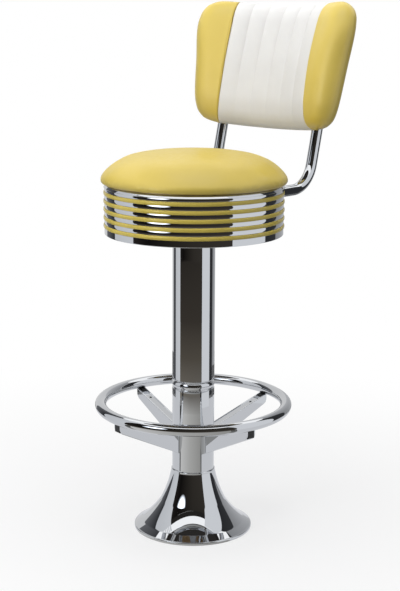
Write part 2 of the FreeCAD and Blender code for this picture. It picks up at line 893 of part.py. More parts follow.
def profile_edges(points):
    """Lines and arcs through points; a point (x, z, vx, vz) ends an arc by way of (vx, vz)."""
    edges = []
    for start, end in zip(points[-1:] + points[:-1], points):
        p1 = Vector(start[0], 0, start[1])
        p2 = Vector(end[0], 0, end[1])
        if len(end) == 4:
            edges.append(Part.Arc(p1, Vector(end[2], 0, end[3]), p2).toShape())
        else:
            edges.append(Part.LineSegment(p1, p2).toShape())
    return edges


def seat_cushion():
    """Upholstered cushion: crown on top, full sides, drawn in to the band, recessed for the board."""
    value = {alias: sheet(alias).value for alias in DRIVING}
    gap = value["soft_clearance"]
    base = BAND_TOP.value
    rest = base + gap
    recess = BOARD_LEVEL.value + value["board_thickness"] + gap
    wide = BAND_RADIUS.value + value["cushion_overhang"]
    top = base + value["cushion_height"]
    drop = value["cushion_crown_drop"]
    shoulder = (wide - value["cushion_shoulder_inset"], base + value["cushion_shoulder_rise"])
    crown = (wide - value["cushion_crown_inset"], top - drop)
    dome = (crown[0] ** 2 + drop ** 2) / (2 * drop)
    halfway = top - dome + math.sqrt(dome ** 2 - (crown[0] / 2) ** 2)
    seat = BAND_RADIUS.value - value["cushion_seat_inset"]
    side = base + value["cushion_side_rise"]
    points = [
        (0.0, recess),
        (value["board_radius"] + gap, recess),
        (value["board_radius"] + gap, rest),
        (seat, rest),
        (wide, side, wide - 2.3, side - 6.5),
        (shoulder[0], shoulder[1], wide - 2.6, side + 9.6),
        (crown[0], crown[1], crown[0] + 24.5, crown[1] - 8.6),
        (0.0, top, crown[0] / 2, halfway),
    ]
    cushion = DOC.addObject("Part::Feature", "seat_cushion")
    cushion.Shape = revolved_shape(profile_edges(points))
    return keep(cushion, "seat_cushion")


# Back frame

def back_tube(label, side):
    """Bent tube that runs under the seat board, out through the band and up into the back."""
    body = new_body(label)
    lean = LEAN
    bend = sheet("tube_bend_radius")
    turn = 90.0 - lean
    tangent = bend * trig("tan", turn / 2)
    start = TUBE_BACK - tangent
    half_turn = turn / 2
    centre_z = TUBE_LEVEL + bend
    via = (start + bend * trig("sin", half_turn), centre_z - bend * trig("cos", half_turn))
    end = (start + bend * trig("sin", turn), centre_z - bend * trig("cos", turn))
    rise = PAD_LEVEL + sheet("tube_rise") * trig("cos", lean)
    top = (end[0] + (rise - end[1]) * trig("tan", lean), rise)
    front = sheet("tube_front")
    route = sketch_on(body, "YZ_Plane", label + "_route")
    trace(route, [(front, TUBE_LEVEL), (start, TUBE_LEVEL), (end[0], end[1], via[0], via[1]), top], closed=False)
    section = sketch_on(body, "XZ_Plane", label + "_section")
    bind(section, "AttachmentOffset.Base.z", -front)
    ring_outline(section, 0, TUBE_LEVEL, TUBE_RADIUS)
    ring_outline(section, 0, TUBE_LEVEL, TUBE_RADIUS - sheet("tube_wall"))
    DOC.recompute()
    pipe = body.newObject("PartDesign::AdditivePipe", label + "_pipe")
    pipe.Profile = section
    pipe.Spine = (route, [""])
    place(body, TUBE_HALF * side, 0, 0)
    return keep(body, label)


def tube_plugs():
    """Plastic plug in the front end of each back tube."""
    inner = TUBE_RADIUS - sheet("tube_wall")
    plugs = []
    for side in (-1, 1):
        face = cylinder("plug_face_%d" % side, TUBE_RADIUS, 2.0, TUBE_HALF * side,
                        sheet("tube_front") - 2.0, TUBE_LEVEL, Vector(0, 1, 0))
        stem = cylinder("plug_stem_%d" % side, inner - SEAT_CLEARANCE / 2, 12.0, TUBE_HALF * side,
                        sheet("tube_front"), TUBE_LEVEL, Vector(0, 1, 0))
        plugs.append(fuse("tube_plug_%d" % side, [face, stem]))
    return group("tube_plugs", plugs)


def tube_strap(name, x, y):
    """U-shaped strap with two ears that clamps a tube up against the board."""
    width = sheet("strap_width")
    thick = sheet("strap_thickness")
    outer = TUBE_RADIUS + thick + 0.1
    bore = TUBE_RADIUS + 0.1
    ear = sheet("strap_ear")
    low = y - width / 2
    along = Vector(0, 1, 0)
    rise = BOARD_LEVEL - TUBE_LEVEL
    ears = box(name + "_ears", (outer + ear) * 2, width, thick, x - outer - ear, low, BOARD_LEVEL - thick)
    legs = box(name + "_legs", outer * 2, width, rise, x - outer, low, TUBE_LEVEL)
    bow = cylinder(name + "_bow", outer, width, x, low, TUBE_LEVEL, along)
    mouth = box(name + "_mouth", bore * 2, width + 2.0, rise + 2.0, x - bore, low - 1.0, TUBE_LEVEL)
    hollow = cylinder(name + "_hollow", bore, width + 2.0, x, low - 1.0, TUBE_LEVEL, along)
    above = box(name + "_above", outer * 4, width + 2.0, outer * 2, x - outer * 2, low - 1.0, BOARD_LEVEL)
    reach = outer - 0.1 + ear / 2
    holes = [cylinder("%s_hole_%d" % (name, side), SCREW_RADIUS + SEAT_CLEARANCE, 10.0,
                      x + reach * side, y, BOARD_LEVEL - 6.0)
             for side in (-1, 1)]
    return cut(name, fuse(name + "_blank", [ears, legs, bow]), [mouth, hollow, above] + holes)


def tube_straps():
    """Four straps under the board."""
    return group("tube_straps", [
        tube_strap("tube_strap_%d" % index, x, y) for index, (x, y) in enumerate(strap_points())])


def strap_screws():
    """Two screws through each strap into the board."""
    thick = sheet("strap_thickness")
    return group("strap_screws", [
        screw("strap_screw_%d" % index, x, y, BOARD_LEVEL - thick, thick + 8.0)
        for index, (x, y) in enumerate(strap_screw_points())])


# Backrest

class BackPad:
    """Sizes of the curved backrest in its own frame: x across, y to the rear, z up the lean.

    Every surface follows circles about one upright axis in front of the back.
    """

    def __init__(self):
        read = {alias: sheet(alias).value for alias in DRIVING}
        self.size = read
        self.axis_y = -read["pad_curve_radius"]
        lean = math.radians(read["lean_angle"])
        self.tube_y = read["pad_tube_inset"]
        self.tube_half = read["tube_spacing"] / 2
        reach = math.hypot(self.tube_half, self.tube_y - self.axis_y)
        self.board_back = reach - read["tube_radius"] - read["soft_clearance"]
        self.board_front = self.board_back - read["back_board_thickness"]
        self.split = self.board_back
        self.spare = 3.0
        front = TUBE_BACK.value + read["pad_rise"] * math.tan(lean) - self.tube_y / math.cos(lean)
        self.placement = Placement(Vector(0, front, PAD_LEVEL.value),
                                   Rotation(Vector(1, 0, 0), -read["lean_angle"]))

    def point(self, radius, angle, level):
        """A point at a radius about the curve's axis, an angle in degrees and a height."""
        turn = math.radians(angle)
        return Vector(radius * math.sin(turn), self.axis_y + radius * math.cos(turn), level)

    def half_width(self, level):
        """Half the pad's width at a height, with its rounded corners."""
        read = self.size
        height = read["pad_height"]
        share = level / height
        side = read["pad_bottom_half_width"] * (1 - share) + read["pad_top_half_width"] * share
        low = read["pad_bottom_corner"]
        high = read["pad_top_corner"]
        if level < low:
            side -= low - math.sqrt(low ** 2 - (low - level) ** 2)
        elif level > height - high:
            side -= high - math.sqrt(high ** 2 - (level - height + high) ** 2)
        return side

    def depth(self, level, full, edge):
        """Pad thickness at a height: full in the middle, rounded off at both ends."""
        height = self.size["pad_height"]
        reach = min(level, height - level)
        span = 0.3 * height
        share = min(reach / span, 1.0)
        return edge + (full - edge) * math.sqrt(1 - (1 - share) ** 2.6)

    def levels(self):
        """Heights of the cross sections that a pad is lofted through."""
        height = self.size["pad_height"]
        return [share * height for share in (0.0, 0.02, 0.07, 0.15, 0.27, 0.42, 0.58, 0.73, 0.85, 0.93, 0.98, 1.0)]

    def arc(self, radius, first, last, level):
        """An arc about the curve's axis."""
        return Part.Arc(self.point(radius, first, level), self.point(radius, (first + last) / 2, level),
                        self.point(radius, last, level)).toShape()

    def line(self, start, end):
        """A straight edge."""
        return Part.LineSegment(start, end).toShape()

    def loft(self, sections):
        """A solid through closed sections."""
        return Part.makeLoft([Part.Wire(edges) for edges in sections], True, False, False, 3)

    def edge_angle(self, level):
        """Angle of the pad's outer edge at a height."""
        return math.degrees(math.asin(self.half_width(level) / self.split))

    def centre_section(self, level):
        """Flat back, straight sides and a front of shallow flutes."""
        read = self.size
        half = read["centre_half_angle"]
        front = self.split - self.depth(level, read["pad_front_depth"], 7.0)
        share = level / read["pad_height"]
        crease = read["flute_depth"] * min(1.0, 0.15 + 1.1 * share) * min(1.0, 0.4 + 4 * (1 - share))
        count = int(read["flute_count"])
        step = 2 * half / count
        back = self.split + self.spare
        edges = [self.arc(back, -half, half, level)]
        edges.append(self.line(self.point(back, half, level), self.point(front + crease, half, level)))
        for index in range(count):
            first = half - step * index
            edges.append(Part.Arc(
                self.point(front + crease, first, level), self.point(front, first - step / 2, level),
                self.point(front + crease, first - step, level)).toShape())
        edges.append(self.line(self.point(front + crease, -half, level), self.point(back, -half, level)))
        return edges

    def wing_section(self, level, side):
        """Smooth front that rounds over to the outer edge."""
        read = self.size
        gap = math.degrees(0.15 / self.split)
        inner = read["centre_half_angle"] + gap
        outer = self.edge_angle(level)
        deep = self.depth(level, read["pad_front_depth"], 7.0)
        front = self.split - deep
        shoulder = outer - math.degrees(min(deep * 0.95, 30.0) / self.split)
        corner = self.point(self.split - deep * 0.62, outer - (outer - shoulder) * 0.2, level)
        tip = self.point(self.split + self.spare, outer, level)
        start = self.point(self.split + self.spare, inner, level)
        high = self.point(front, inner, level)
        turn = self.point(front, shoulder, level)
        middle = self.point(front, (inner + shoulder) / 2, level)
        back = self.point(self.split + self.spare, (inner + outer) / 2, level)
        flip = Vector(side, 1, 1)
        points = [Vector(p.x * flip.x, p.y, p.z) for p in (start, high, middle, turn, corner, tip, back)]
        start, high, middle, turn, corner, tip, back = points
        return [
            self.line(start, high),
            Part.Arc(high, middle, turn).toShape(),
            Part.Arc(turn, corner, tip).toShape(),
            Part.Arc(tip, back, start).toShape(),
        ]

    def rear_section(self, level):
        """Rear half of the pad, rounded at both outer edges."""
        read = self.size
        front = self.split - self.spare
        deep = self.depth(level, read["pad_rear_depth"], 6.0) + self.spare
        rear = front + deep
        outer = self.edge_angle(level)
        shoulder = outer - math.degrees(deep * 0.9 / self.split)
        bulge = outer - (outer - shoulder) * 0.2
        return [
            self.arc(front, -outer, outer, level),
            Part.Arc(self.point(front, outer, level), self.point(front + deep * 0.62, bulge, level),
                     self.point(rear, shoulder, level)).toShape(),
            self.arc(rear, shoulder, -shoulder, level),
            Part.Arc(self.point(rear, -shoulder, level), self.point(front + deep * 0.62, -bulge, level),
                     self.point(front, -outer, level)).toShape(),
        ]

    def drum(self, radius):
        """A tall solid cylinder about the curve's axis."""
        height = self.size["pad_height"]
        return Part.makeCylinder(radius, height * 2, Vector(0, self.axis_y, -height / 2), UP)

    def board_shape(self, grow=0.0):
        """The curved board, or with grow the space that holds it."""
        read = self.size
        edge = read["back_board_inset"] - grow
        low = edge
        high = read["pad_height"] - edge
        foot = read["pad_bottom_half_width"] - edge
        head = read["pad_top_half_width"] - edge
        corner = read["back_board_corner"]
        behind = self.axis_y + self.board_back + grow + 1.0
        points = [Vector(x, behind, z) for x, z in ((-foot, low), (foot, low), (head, high), (-head, high))]
        outline = Part.makePolygon(points + points[:1])
        slab = Part.Face(outline).extrude(Vector(0, self.axis_y / 2, 0))
        upright = [side for side in slab.Edges if abs(side.tangentAt(side.FirstParameter).y) > 0.99]
        slab = slab.makeFillet(corner, upright)
        return slab.common(self.drum(self.board_back + grow)).cut(self.drum(self.board_front - grow))

    def tube_space(self, side, grow):
        """The room that one back tube needs inside the pad."""
        read = self.size
        radius = read["tube_radius"] + grow
        below = 60.0
        end_room = 4.0
        length = below + read["tube_rise"] + end_room
        return Part.makeCylinder(radius, length, Vector(self.tube_half * side, self.tube_y, -below), UP)

    def screw_levels(self):
        """Heights of the screws that hold the board to each tube."""
        rise = self.size["tube_rise"]
        return [rise * 0.4, rise * 0.86]

    def screw_shape(self, side, level, grow=0.0):
        """A round-headed screw from behind the tube forward into the board."""
        read = self.size
        x = self.tube_half * side
        behind = self.tube_y + read["tube_radius"]
        forward = Vector(0, -1, 0)
        shank = Part.makeCylinder(read["screw_radius"] + grow, 2 * read["tube_radius"] + 5.0,
                                  Vector(x, behind + 0.2, level), forward)
        head = Part.makeCylinder(read["screw_head_radius"] + grow, read["screw_head_height"] + grow,
                                 Vector(x, behind + read["screw_head_height"] + 0.2 + grow, level), forward)
        return shank.fuse(head)


def pad_feature(pad, label, shape):
    """A piece of the backrest, put in place on the leaning frame."""
    feature = DOC.addObject("Part::Feature", label)
    feature.Shape = shape
    feature.Placement = pad.placement
    return keep(feature, label)


def backrest():
    """Fluted centre pad, two wings, rear pad, plywood board and its screws."""
    pad = BackPad()
    gap = pad.size["soft_clearance"]
    sides = (-1, 1)
    screws = [pad.screw_shape(side, level) for side in sides for level in pad.screw_levels()]
    screw_room = [pad.screw_shape(side, level, gap) for side in sides for level in pad.screw_levels()]
    tube_room = [pad.tube_space(side, gap) for side in sides]
    board_room = pad.board_shape(gap)
    board = pad.board_shape()
    for hole in [pad.screw_shape(side, level, 0.1) for side in sides for level in pad.screw_levels()]:
        board = board.cut(hole)
    front_half = pad.drum(pad.split)
    rear_half = pad.drum(pad.split + gap)
    centre = pad.loft([pad.centre_section(level) for level in pad.levels()]).common(front_half).cut(board_room)
    pad_feature(pad, "back_centre_pad", centre)
    for label, side in (("back_wing_left", 1), ("back_wing_right", -1)):
        wing = pad.loft([pad.wing_section(level, side) for level in pad.levels()])
        wing = wing.common(front_half).cut(board_room)
        for room in screw_room:
            wing = wing.cut(room)
        pad_feature(pad, label, wing)
    rear = pad.loft([pad.rear_section(level) for level in pad.levels()]).cut(rear_half).cut(board_room)
    for room in screw_room + tube_room:
        rear = rear.cut(room)
    pad_feature(pad, "back_rear_pad", rear)
    pad_feature(pad, "back_board", board)
    pad_feature(pad, "back_screws", Part.makeCompound(screws))
    return pad


def drill_tubes(pad, tubes):
    """Clear the back screws' way through the two tubes."""
    drilled = []
    for tube, side in zip(tubes, (-1, 1)):
        label = tube.Label
        holes = DOC.addObject("Part::Feature", label + "_screw_holes")
        holes.Shape = Part.makeCompound([pad.screw_shape(side, level, 0.1) for level in pad.screw_levels()])
        holes.Placement = pad.placement
        NODES.remove(tube)
        tube.Label = label + "_bent"
        drilled.append(keep(cut(label, tube, [holes]), label))
    return drilled


# Checks and export

def check_document():
    """Stop when an object failed, a shape is broken or a property left its formula."""
    for thing in DOC.Objects:
        if "Invalid" in thing.State or "Error" in thing.State:
            raise RuntimeError("%s failed: %s" % (thing.Label, thing.State))
    for thing, prop, value in BOUND:
        if prop.startswith("Constraints["):
            number = int(prop[len("Constraints["):-1])
            found = thing.Constraints[number].Value
        elif prop.startswith("Placement.Base.") or prop.startswith("AttachmentOffset.Base."):
            holder = getattr(thing, prop.split(".")[0])
            found = getattr(holder.Base, prop[-1])
        else:
            found = float(getattr(thing, prop))
        if abs(found - value) > 1e-6 * max(1.0, abs(value)):
            raise RuntimeError("%s.%s is %s, not %s" % (thing.Label, prop, found, value))
    for node in NODES:
        if node.Shape.isNull() or not node.Shape.isValid() or not node.Shape.Solids:
            raise RuntimeError("%s has no valid shape" % node.Label)


def write_parts():
    """Write one STEP file for each piece and print a summary."""
    for node in NODES:
        node.Shape.exportStep("parts/%s.step" % node.Label)
        bounds = node.Shape.BoundBox
        print("%-18s solids %2d  volume %10.1f  z %7.1f to %7.1f"
              % (node.Label, len(node.Shape.Solids), node.Shape.Volume, bounds.ZMin, bounds.ZMax))
    print("nodes", len(NODES))


fill_sheet()

# Sizes that several pieces share
PLATE_THICKNESS = sheet("plate_thickness")
POST_RADIUS = sheet("post_radius")
POST_WALL = sheet("post_wall")
BELL_HEIGHT = sheet("bell_height")
COLUMN_RADIUS = sheet("column_radius")
RING_RADIUS = sheet("ring_radius")
RING_TUBE_RADIUS = sheet("ring_tube_radius")
RING_LEVEL = sheet("ring_level")
HUB_TOP = RING_LEVEL + sheet("hub_rise")
COLLAR_TOP = HUB_TOP + sheet("collar_height")
COLUMN_TOP = sheet("column_top")
ARM_END = RING_RADIUS - sheet("arm_end_inset")
ARM_WIDTH = sheet("arm_width")
ARM_WALL = sheet("arm_wall")
ARM_LIP = sheet("arm_lip_depth")
CAP_LENGTH = sheet("cap_length")
RUNNING = sheet("running_clearance")
SEAT_CLEARANCE = sheet("seat_clearance")
SPINDLE_RADIUS = sheet("spindle_radius")
BUSH_WALL = sheet("bush_wall")
FLANGE_TOP = COLUMN_TOP + sheet("flange_thickness")
SOCKET_BOTTOM = COLUMN_TOP - sheet("socket_depth")
RACE_THICKNESS = sheet("race_thickness")
BALL_RADIUS = sheet("ball_radius")
RACE_INNER = SPINDLE_RADIUS + sheet("race_clearance")
RACE_OUTER = RACE_INNER + sheet("race_width")
BALL_CIRCLE = (RACE_INNER + RACE_OUTER) / 2
BALL_LEVEL = FLANGE_TOP + RACE_THICKNESS + BALL_RADIUS
UPPER_RACE_BOTTOM = BALL_LEVEL + BALL_RADIUS + RUNNING
HEAD_BOTTOM = UPPER_RACE_BOTTOM + RACE_THICKNESS
NUT_THICKNESS = sheet("nut_thickness")
SEAT_PLATE_BOTTOM = HEAD_BOTTOM + sheet("spindle_head_thickness")
BOARD_LEVEL = SEAT_PLATE_BOTTOM + sheet("seat_plate_thickness")
BOARD_THICKNESS = sheet("board_thickness")
PLATE_SCREW_HALF = sheet("plate_screw_spacing") / 2
SCREW_RADIUS = sheet("screw_radius")
SCREW_HEAD_RADIUS = sheet("screw_head_radius")
SCREW_HEAD_HEIGHT = sheet("screw_head_height")
BAND_RADIUS = sheet("board_radius") + sheet("band_stand")
BAND_TOP = BOARD_LEVEL + sheet("band_rise")
BAND_BOTTOM = BAND_TOP - sheet("band_height")
FLANGE_SHEET = sheet("band_flange_thickness")
STRIPE_LOWEST = BAND_BOTTOM + sheet("stripe_foot")
STRIPE_PITCH = sheet("stripe_pitch")
STRIPE_HEIGHT = sheet("stripe_height")
STRIPE_DEPTH = sheet("stripe_depth")
TUBE_RADIUS = sheet("tube_radius")
TUBE_HALF = sheet("tube_spacing") / 2
TUBE_LEVEL = BOARD_LEVEL - TUBE_RADIUS - sheet("tube_gap")
TUBE_BACK = BAND_RADIUS + sheet("tube_back_reach")
PAD_LEVEL = TUBE_LEVEL + sheet("pad_rise")
LEAN = sheet("lean_angle")

floor_plate()
inner_post()
base_bell()
footring_hub()
joint_collar()
upper_column()
footring()
for number in range(1, int(sheet("arm_count").value) + 1):
    footring_arm(number)
    arm_cap(number)
swivel_socket()
bush("lower_bush", SOCKET_BOTTOM, SOCKET_BOTTOM + sheet("bush_length"))
bush("upper_bush", FLANGE_TOP - sheet("bush_length"), FLANGE_TOP)
race("lower_race", FLANGE_TOP)
bearing_balls()
bearing_cage()
race("upper_race", UPPER_RACE_BOTTOM)
swivel_spindle()
spindle_washer()
spindle_nut()
seat_plate()
plate_screws()
seat_board()
seat_band()
band_ring()
for number in range(1, int(sheet("stripe_count").value) + 1):
    band_stripe(number)
band_screws()
seat_cushion()
left_and_right = [back_tube("back_tube_right", -1), back_tube("back_tube_left", 1)]
tube_plugs()
tube_straps()
strap_screws()
drill_tubes(backrest(), left_and_right)
DOC.recompute()
check_document()
write_parts()
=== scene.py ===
"""Looks of a chromed diner counter stool with a yellow vinyl seat and a yellow and white back.

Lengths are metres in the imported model's frame: +Z up, the column's axis at X = Y = 0 with the floor
at Z = 0, and the sitter faces -Y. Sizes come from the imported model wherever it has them.
"""

from __future__ import annotations

import json
import logging
import math
from dataclasses import dataclass, field
from enum import Enum
from typing import Callable, Iterable, Sequence

import bmesh
import bpy
from mathutils import Matrix, Vector

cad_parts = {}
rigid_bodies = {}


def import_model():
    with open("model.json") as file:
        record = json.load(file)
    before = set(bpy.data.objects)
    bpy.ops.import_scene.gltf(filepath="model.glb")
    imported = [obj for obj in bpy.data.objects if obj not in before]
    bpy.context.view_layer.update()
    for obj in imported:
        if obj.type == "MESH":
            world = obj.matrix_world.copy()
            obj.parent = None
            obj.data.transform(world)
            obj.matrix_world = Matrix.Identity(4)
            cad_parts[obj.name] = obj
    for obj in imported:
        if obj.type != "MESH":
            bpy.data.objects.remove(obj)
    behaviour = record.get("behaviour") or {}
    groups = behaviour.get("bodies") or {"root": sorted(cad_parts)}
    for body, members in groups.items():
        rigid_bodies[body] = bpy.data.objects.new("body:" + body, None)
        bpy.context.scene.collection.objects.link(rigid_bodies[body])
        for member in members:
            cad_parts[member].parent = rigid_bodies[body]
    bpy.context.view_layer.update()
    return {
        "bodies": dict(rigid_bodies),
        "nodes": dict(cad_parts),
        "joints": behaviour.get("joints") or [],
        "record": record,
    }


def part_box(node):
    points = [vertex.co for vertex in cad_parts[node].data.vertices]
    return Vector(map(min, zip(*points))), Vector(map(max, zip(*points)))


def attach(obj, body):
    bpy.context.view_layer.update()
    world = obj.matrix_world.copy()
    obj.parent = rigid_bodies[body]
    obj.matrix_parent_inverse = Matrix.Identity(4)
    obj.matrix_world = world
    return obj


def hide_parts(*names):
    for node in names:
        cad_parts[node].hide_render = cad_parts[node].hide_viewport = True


LOG = logging.getLogger("stool")
MM = 0.001
SUPPORT = 0.5 * MM        # how far from the ends of a long straight line its extra points lie
BACK_LEAN = math.radians(13.8)
BACK_TUBE = 11.1 * MM     # radius of the back's tubes
Point = tuple[float, float]


# Small tools for meshes

@dataclass
class Outline:
    """A profile in radius and height, drawn as lines and arcs."""

    points: list[Point] = field(default_factory=list)

    def to(self, across: float, up: float) -> "Outline":
        """Draw a straight line to a point; a long one gets a point near each end, so that it shades flat."""
        if self.points:
            ax, ay = self.points[-1]
            share = SUPPORT / max(math.hypot(across - ax, up - ay), 1e-9)
            if share < 0.17:
                for part in (share, 1 - share):
                    self.points.append((ax + (across - ax) * part, ay + (up - ay) * part))
        self.points.append((across, up))
        return self

    def arc(self, via: Point, end: Point, steps: int = 8) -> "Outline":
        """Draw an arc by way of one point to another.

        Args:
            via: A point on the arc between its ends.
            end: The arc's last point.
            steps: How many straight pieces stand for the arc.

        Returns:
            The outline itself, so that calls can follow each other.
        """
        (ax, ay), (bx, by), (cx, cy) = self.points[-1], via, end
        twice = 2 * (ax * (by - cy) + bx * (cy - ay) + cx * (ay - by))
        a, b, c = ax * ax + ay * ay, bx * bx + by * by, cx * cx + cy * cy
        ox = (a * (by - cy) + b * (cy - ay) + c * (ay - by)) / twice
        oy = (a * (cx - bx) + b * (ax - cx) + c * (bx - ax)) / twice
        radius = math.hypot(ax - ox, ay - oy)
        first, middle, last = (math.atan2(y - oy, x - ox) for x, y in ((ax, ay), via, end))
        turn = (last - first) % math.tau
        if (middle - first) % math.tau > turn:
            turn -= math.tau
        for step in range(1, steps + 1):
            angle = first + turn * step / steps
            self.points.append((ox + radius * math.cos(angle), oy + radius * math.sin(angle)))
        return self


def new_piece(name: str, verts: Sequence[Sequence[float]], faces: Sequence[Sequence[int]],
              sharp: float = 35.0) -> bpy.types.Object:
    """Make an object from vertices and faces, with outward normals and smooth shading.

    Args:
        name: Name of the piece.
        verts: Vertex places.
        faces: Vertex numbers of each face.
        sharp: Edges that bend by more degrees than this keep a crisp shade.

    Returns:
        The new object, linked to the scene.
    """
    mesh = bpy.data.meshes.new(name)
    mesh.from_pydata([tuple(v) for v in verts], [], [tuple(f) for f in faces])
    tidy_mesh(mesh, sharp)
    piece = bpy.data.objects.new(name, mesh)
    bpy.context.scene.collection.objects.link(piece)
    return piece


def tidy_mesh(mesh: bpy.types.Mesh, sharp: float = 35.0) -> None:
    """Merge doubles, point the faces outwards and shade them smooth up to an angle."""
    work = bmesh.new()
    work.from_mesh(mesh)
    bmesh.ops.remove_doubles(work, verts=work.verts, dist=1e-6)
    bmesh.ops.recalc_face_normals(work, faces=work.faces)
    work.to_mesh(mesh)
    work.free()
    mesh.shade_smooth()
    mesh.set_sharp_from_angle(angle=math.radians(sharp))
    mesh.update()


def lathe(name: str, outline: Outline, turns: int = 192, sharp: float = 35.0) -> bpy.types.Object:
    """Turn a closed outline about the Z axis."""
    count = len(outline.points)
    verts = []
    for step in range(turns):
        angle = math.tau * step / turns
        verts += [(r * math.cos(angle), r * math.sin(angle), z) for r, z in outline.points]
    faces = []
    for step in range(turns):
        here, there = step * count, (step + 1) % turns * count
        for index in range(count):
            after = (index + 1) % count
            faces.append((here + index, there + index, there + after, here + after))
    piece = new_piece(name, verts, faces, sharp)
    work = bmesh.new()
    work.from_mesh(piece.data)
    bmesh.ops.dissolve_degenerate(work, edges=work.edges, dist=1e-7)
    work.to_mesh(piece.data)
    work.free()
    return piece


def sweep(name: str, path: Sequence[Vector], radius: float, sides: int = 48,
          closed: bool = False) -> bpy.types.Object:
    """Run a round tube along a path, with flat ends unless the path is closed."""
    count = len(path)
    tangents = []
    for index in range(count):
        before = path[index - 1] if closed or index else path[0]
        after = path[(index + 1) % count] if closed or index < count - 1 else path[-1]
        tangents.append((after - before).normalized())
    side = tangents[0].orthogonal().normalized()
    verts: list[Vector] = []
    for point, tangent in zip(path, tangents):
        side = (side - tangent * side.dot(tangent)).normalized()
        other = tangent.cross(side)
        for step in range(sides):
            angle = math.tau * step / sides
            verts.append(point + radius * (math.cos(angle) * side + math.sin(angle) * other))
    faces: list[tuple[int, ...]] = []
    for index in range(count if closed else count - 1):
        here, there = index * sides, (index + 1) % count * sides
        for step in range(sides):
            after = (step + 1) % sides
            faces.append((here + step, here + after, there + after, there + step))
    if not closed:
        faces.append(tuple(range(sides)))
        faces.append(tuple(range((count - 1) * sides, count * sides)))
    return new_piece(name, verts, faces)


def settle(piece: bpy.types.Object) -> None:
    """Turn a piece with its modifiers into a plain mesh and drop the modifiers."""
    graph = bpy.context.evaluated_depsgraph_get()
    mesh = bpy.data.meshes.new_from_object(piece.evaluated_get(graph), depsgraph=graph)
    piece.modifiers.clear()
    piece.data = mesh


def dress(piece: bpy.types.Object, material: bpy.types.Material, body: "Body", slot: str,
          *nodes: str) -> bpy.types.Object:
    """Give a piece its material and its body, and hide the nodes that it stands for."""
    piece.data.materials.clear()
    piece.data.materials.append(material)
    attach(piece, body.value)
    if nodes:
        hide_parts(*nodes)
    LOG.info("%s: %d faces on %s", piece.name, len(piece.data.polygons), body.value)
    return piece


class Body(Enum):
    """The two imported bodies."""

    BASE = "base"
    SEAT = "seat"


# Finishes

def linear(colour: str) -> tuple[float, float, float, float]:
    """An sRGB hex colour as linear red, green, blue and alpha."""
    parts = [int(colour[i:i + 2], 16) / 255 for i in (1, 3, 5)]
    red, green, blue = ((p / 12.92) if p <= 0.04045 else ((p + 0.055) / 1.055) ** 2.4 for p in parts)
    return red, green, blue, 1.0


def add_node(tree: bpy.types.NodeTree, kind: str, settings: dict | None = None,
             links: dict | None = None) -> bpy.types.Node:
    """Add a node to a tree.

    Args:
        tree: The tree.
        kind: The node's type name.
        settings: Values by property name, or by input name or number.
        links: Output sockets by the name or number of the input that they go to.

    Returns:
        The new node.
    """
    node = tree.nodes.new(kind)
    for key, value in (settings or {}).items():
        if isinstance(key, str) and hasattr(node, key):
            setattr(node, key, value)
        else:
            node.inputs[key].default_value = value
    for key, socket in (links or {}).items():
        tree.links.new(socket, node.inputs[key])
    return node


def blank_material(name: str) -> tuple[bpy.types.Material, bpy.types.NodeTree]:
    """A new material and its emptied tree."""
    made = bpy.data.materials.new(name)
    made.use_nodes = True
    made.node_tree.nodes.clear()
    return made, made.node_tree


def even_glow(tree: bpy.types.NodeTree, colour: str, strength: float = 1.0) -> bpy.types.NodeSocket:
    """The shader of an even glow."""
    glow = add_node(tree, "ShaderNodeEmission", {"Color": linear(colour), "Strength": strength})
    return glow.outputs[0]


@dataclass(frozen=True)
class Finish:
    """A surface: its shader's own values and the pattern that breaks it up."""

    name: str
    colour: str
    roughness: float
    metallic: float = 0.0
    specular: float = 0.5

    def material(self) -> bpy.types.Material:
        """Build the material."""
        made, tree = blank_material(self.name)
        place = add_node(tree, "ShaderNodeTexCoord").outputs["Object"]
        shader = add_node(tree, "ShaderNodeBsdfPrincipled", {
            "Base Color": linear(self.colour), "Roughness": self.roughness,
            "Metallic": self.metallic, "Specular IOR Level": self.specular})
        self.pattern(tree, shader, place)
        add_node(tree, "ShaderNodeOutputMaterial", links={"Surface": shader.outputs["BSDF"]})
        return made

    def pattern(self, tree: bpy.types.NodeTree, shader: bpy.types.Node, place: bpy.types.NodeSocket) -> None:
        """Add what breaks up the plain surface."""

    @staticmethod
    def noise(tree: bpy.types.NodeTree, place: bpy.types.NodeSocket, size: float,
              detail: float = 3.0) -> bpy.types.NodeSocket:
        """A noise whose blotches are about a size across."""
        node = add_node(tree, "ShaderNodeTexNoise", {"Scale": 1 / size, "Detail": detail}, {"Vector": place})
        return node.outputs["Fac"]

    @staticmethod
    def bump(tree: bpy.types.NodeTree, shader: bpy.types.Node, height: bpy.types.NodeSocket,
             depth: float, strength: float = 1.0) -> None:
        """Raise a surface by a height pattern of a real depth."""
        node = add_node(tree, "ShaderNodeBump", {"Strength": strength, "Distance": depth}, {"Height": height})
        tree.links.new(node.outputs["Normal"], shader.inputs["Normal"])

    @staticmethod
    def spread(tree: bpy.types.NodeTree, socket: bpy.types.NodeSocket, low: float,
               high: float) -> bpy.types.NodeSocket:
        """Map a noise to a range of values."""
        node = add_node(tree, "ShaderNodeMapRange", {"From Min": 0.3, "From Max": 0.7, "To Min": low,
                                                     "To Max": high}, {"Value": socket})
        return node.outputs["Result"]

    @staticmethod
    def tint(tree: bpy.types.NodeTree, shader: bpy.types.Node, amount: bpy.types.NodeSocket,
             first: str, second: str) -> None:
        """Blend the base colour between two colours."""
        node = add_node(tree, "ShaderNodeMix", {"data_type": "RGBA"}, {0: amount})
        node.inputs[6].default_value = linear(first)
        node.inputs[7].default_value = linear(second)
        tree.links.new(node.outputs[2], shader.inputs["Base Color"])


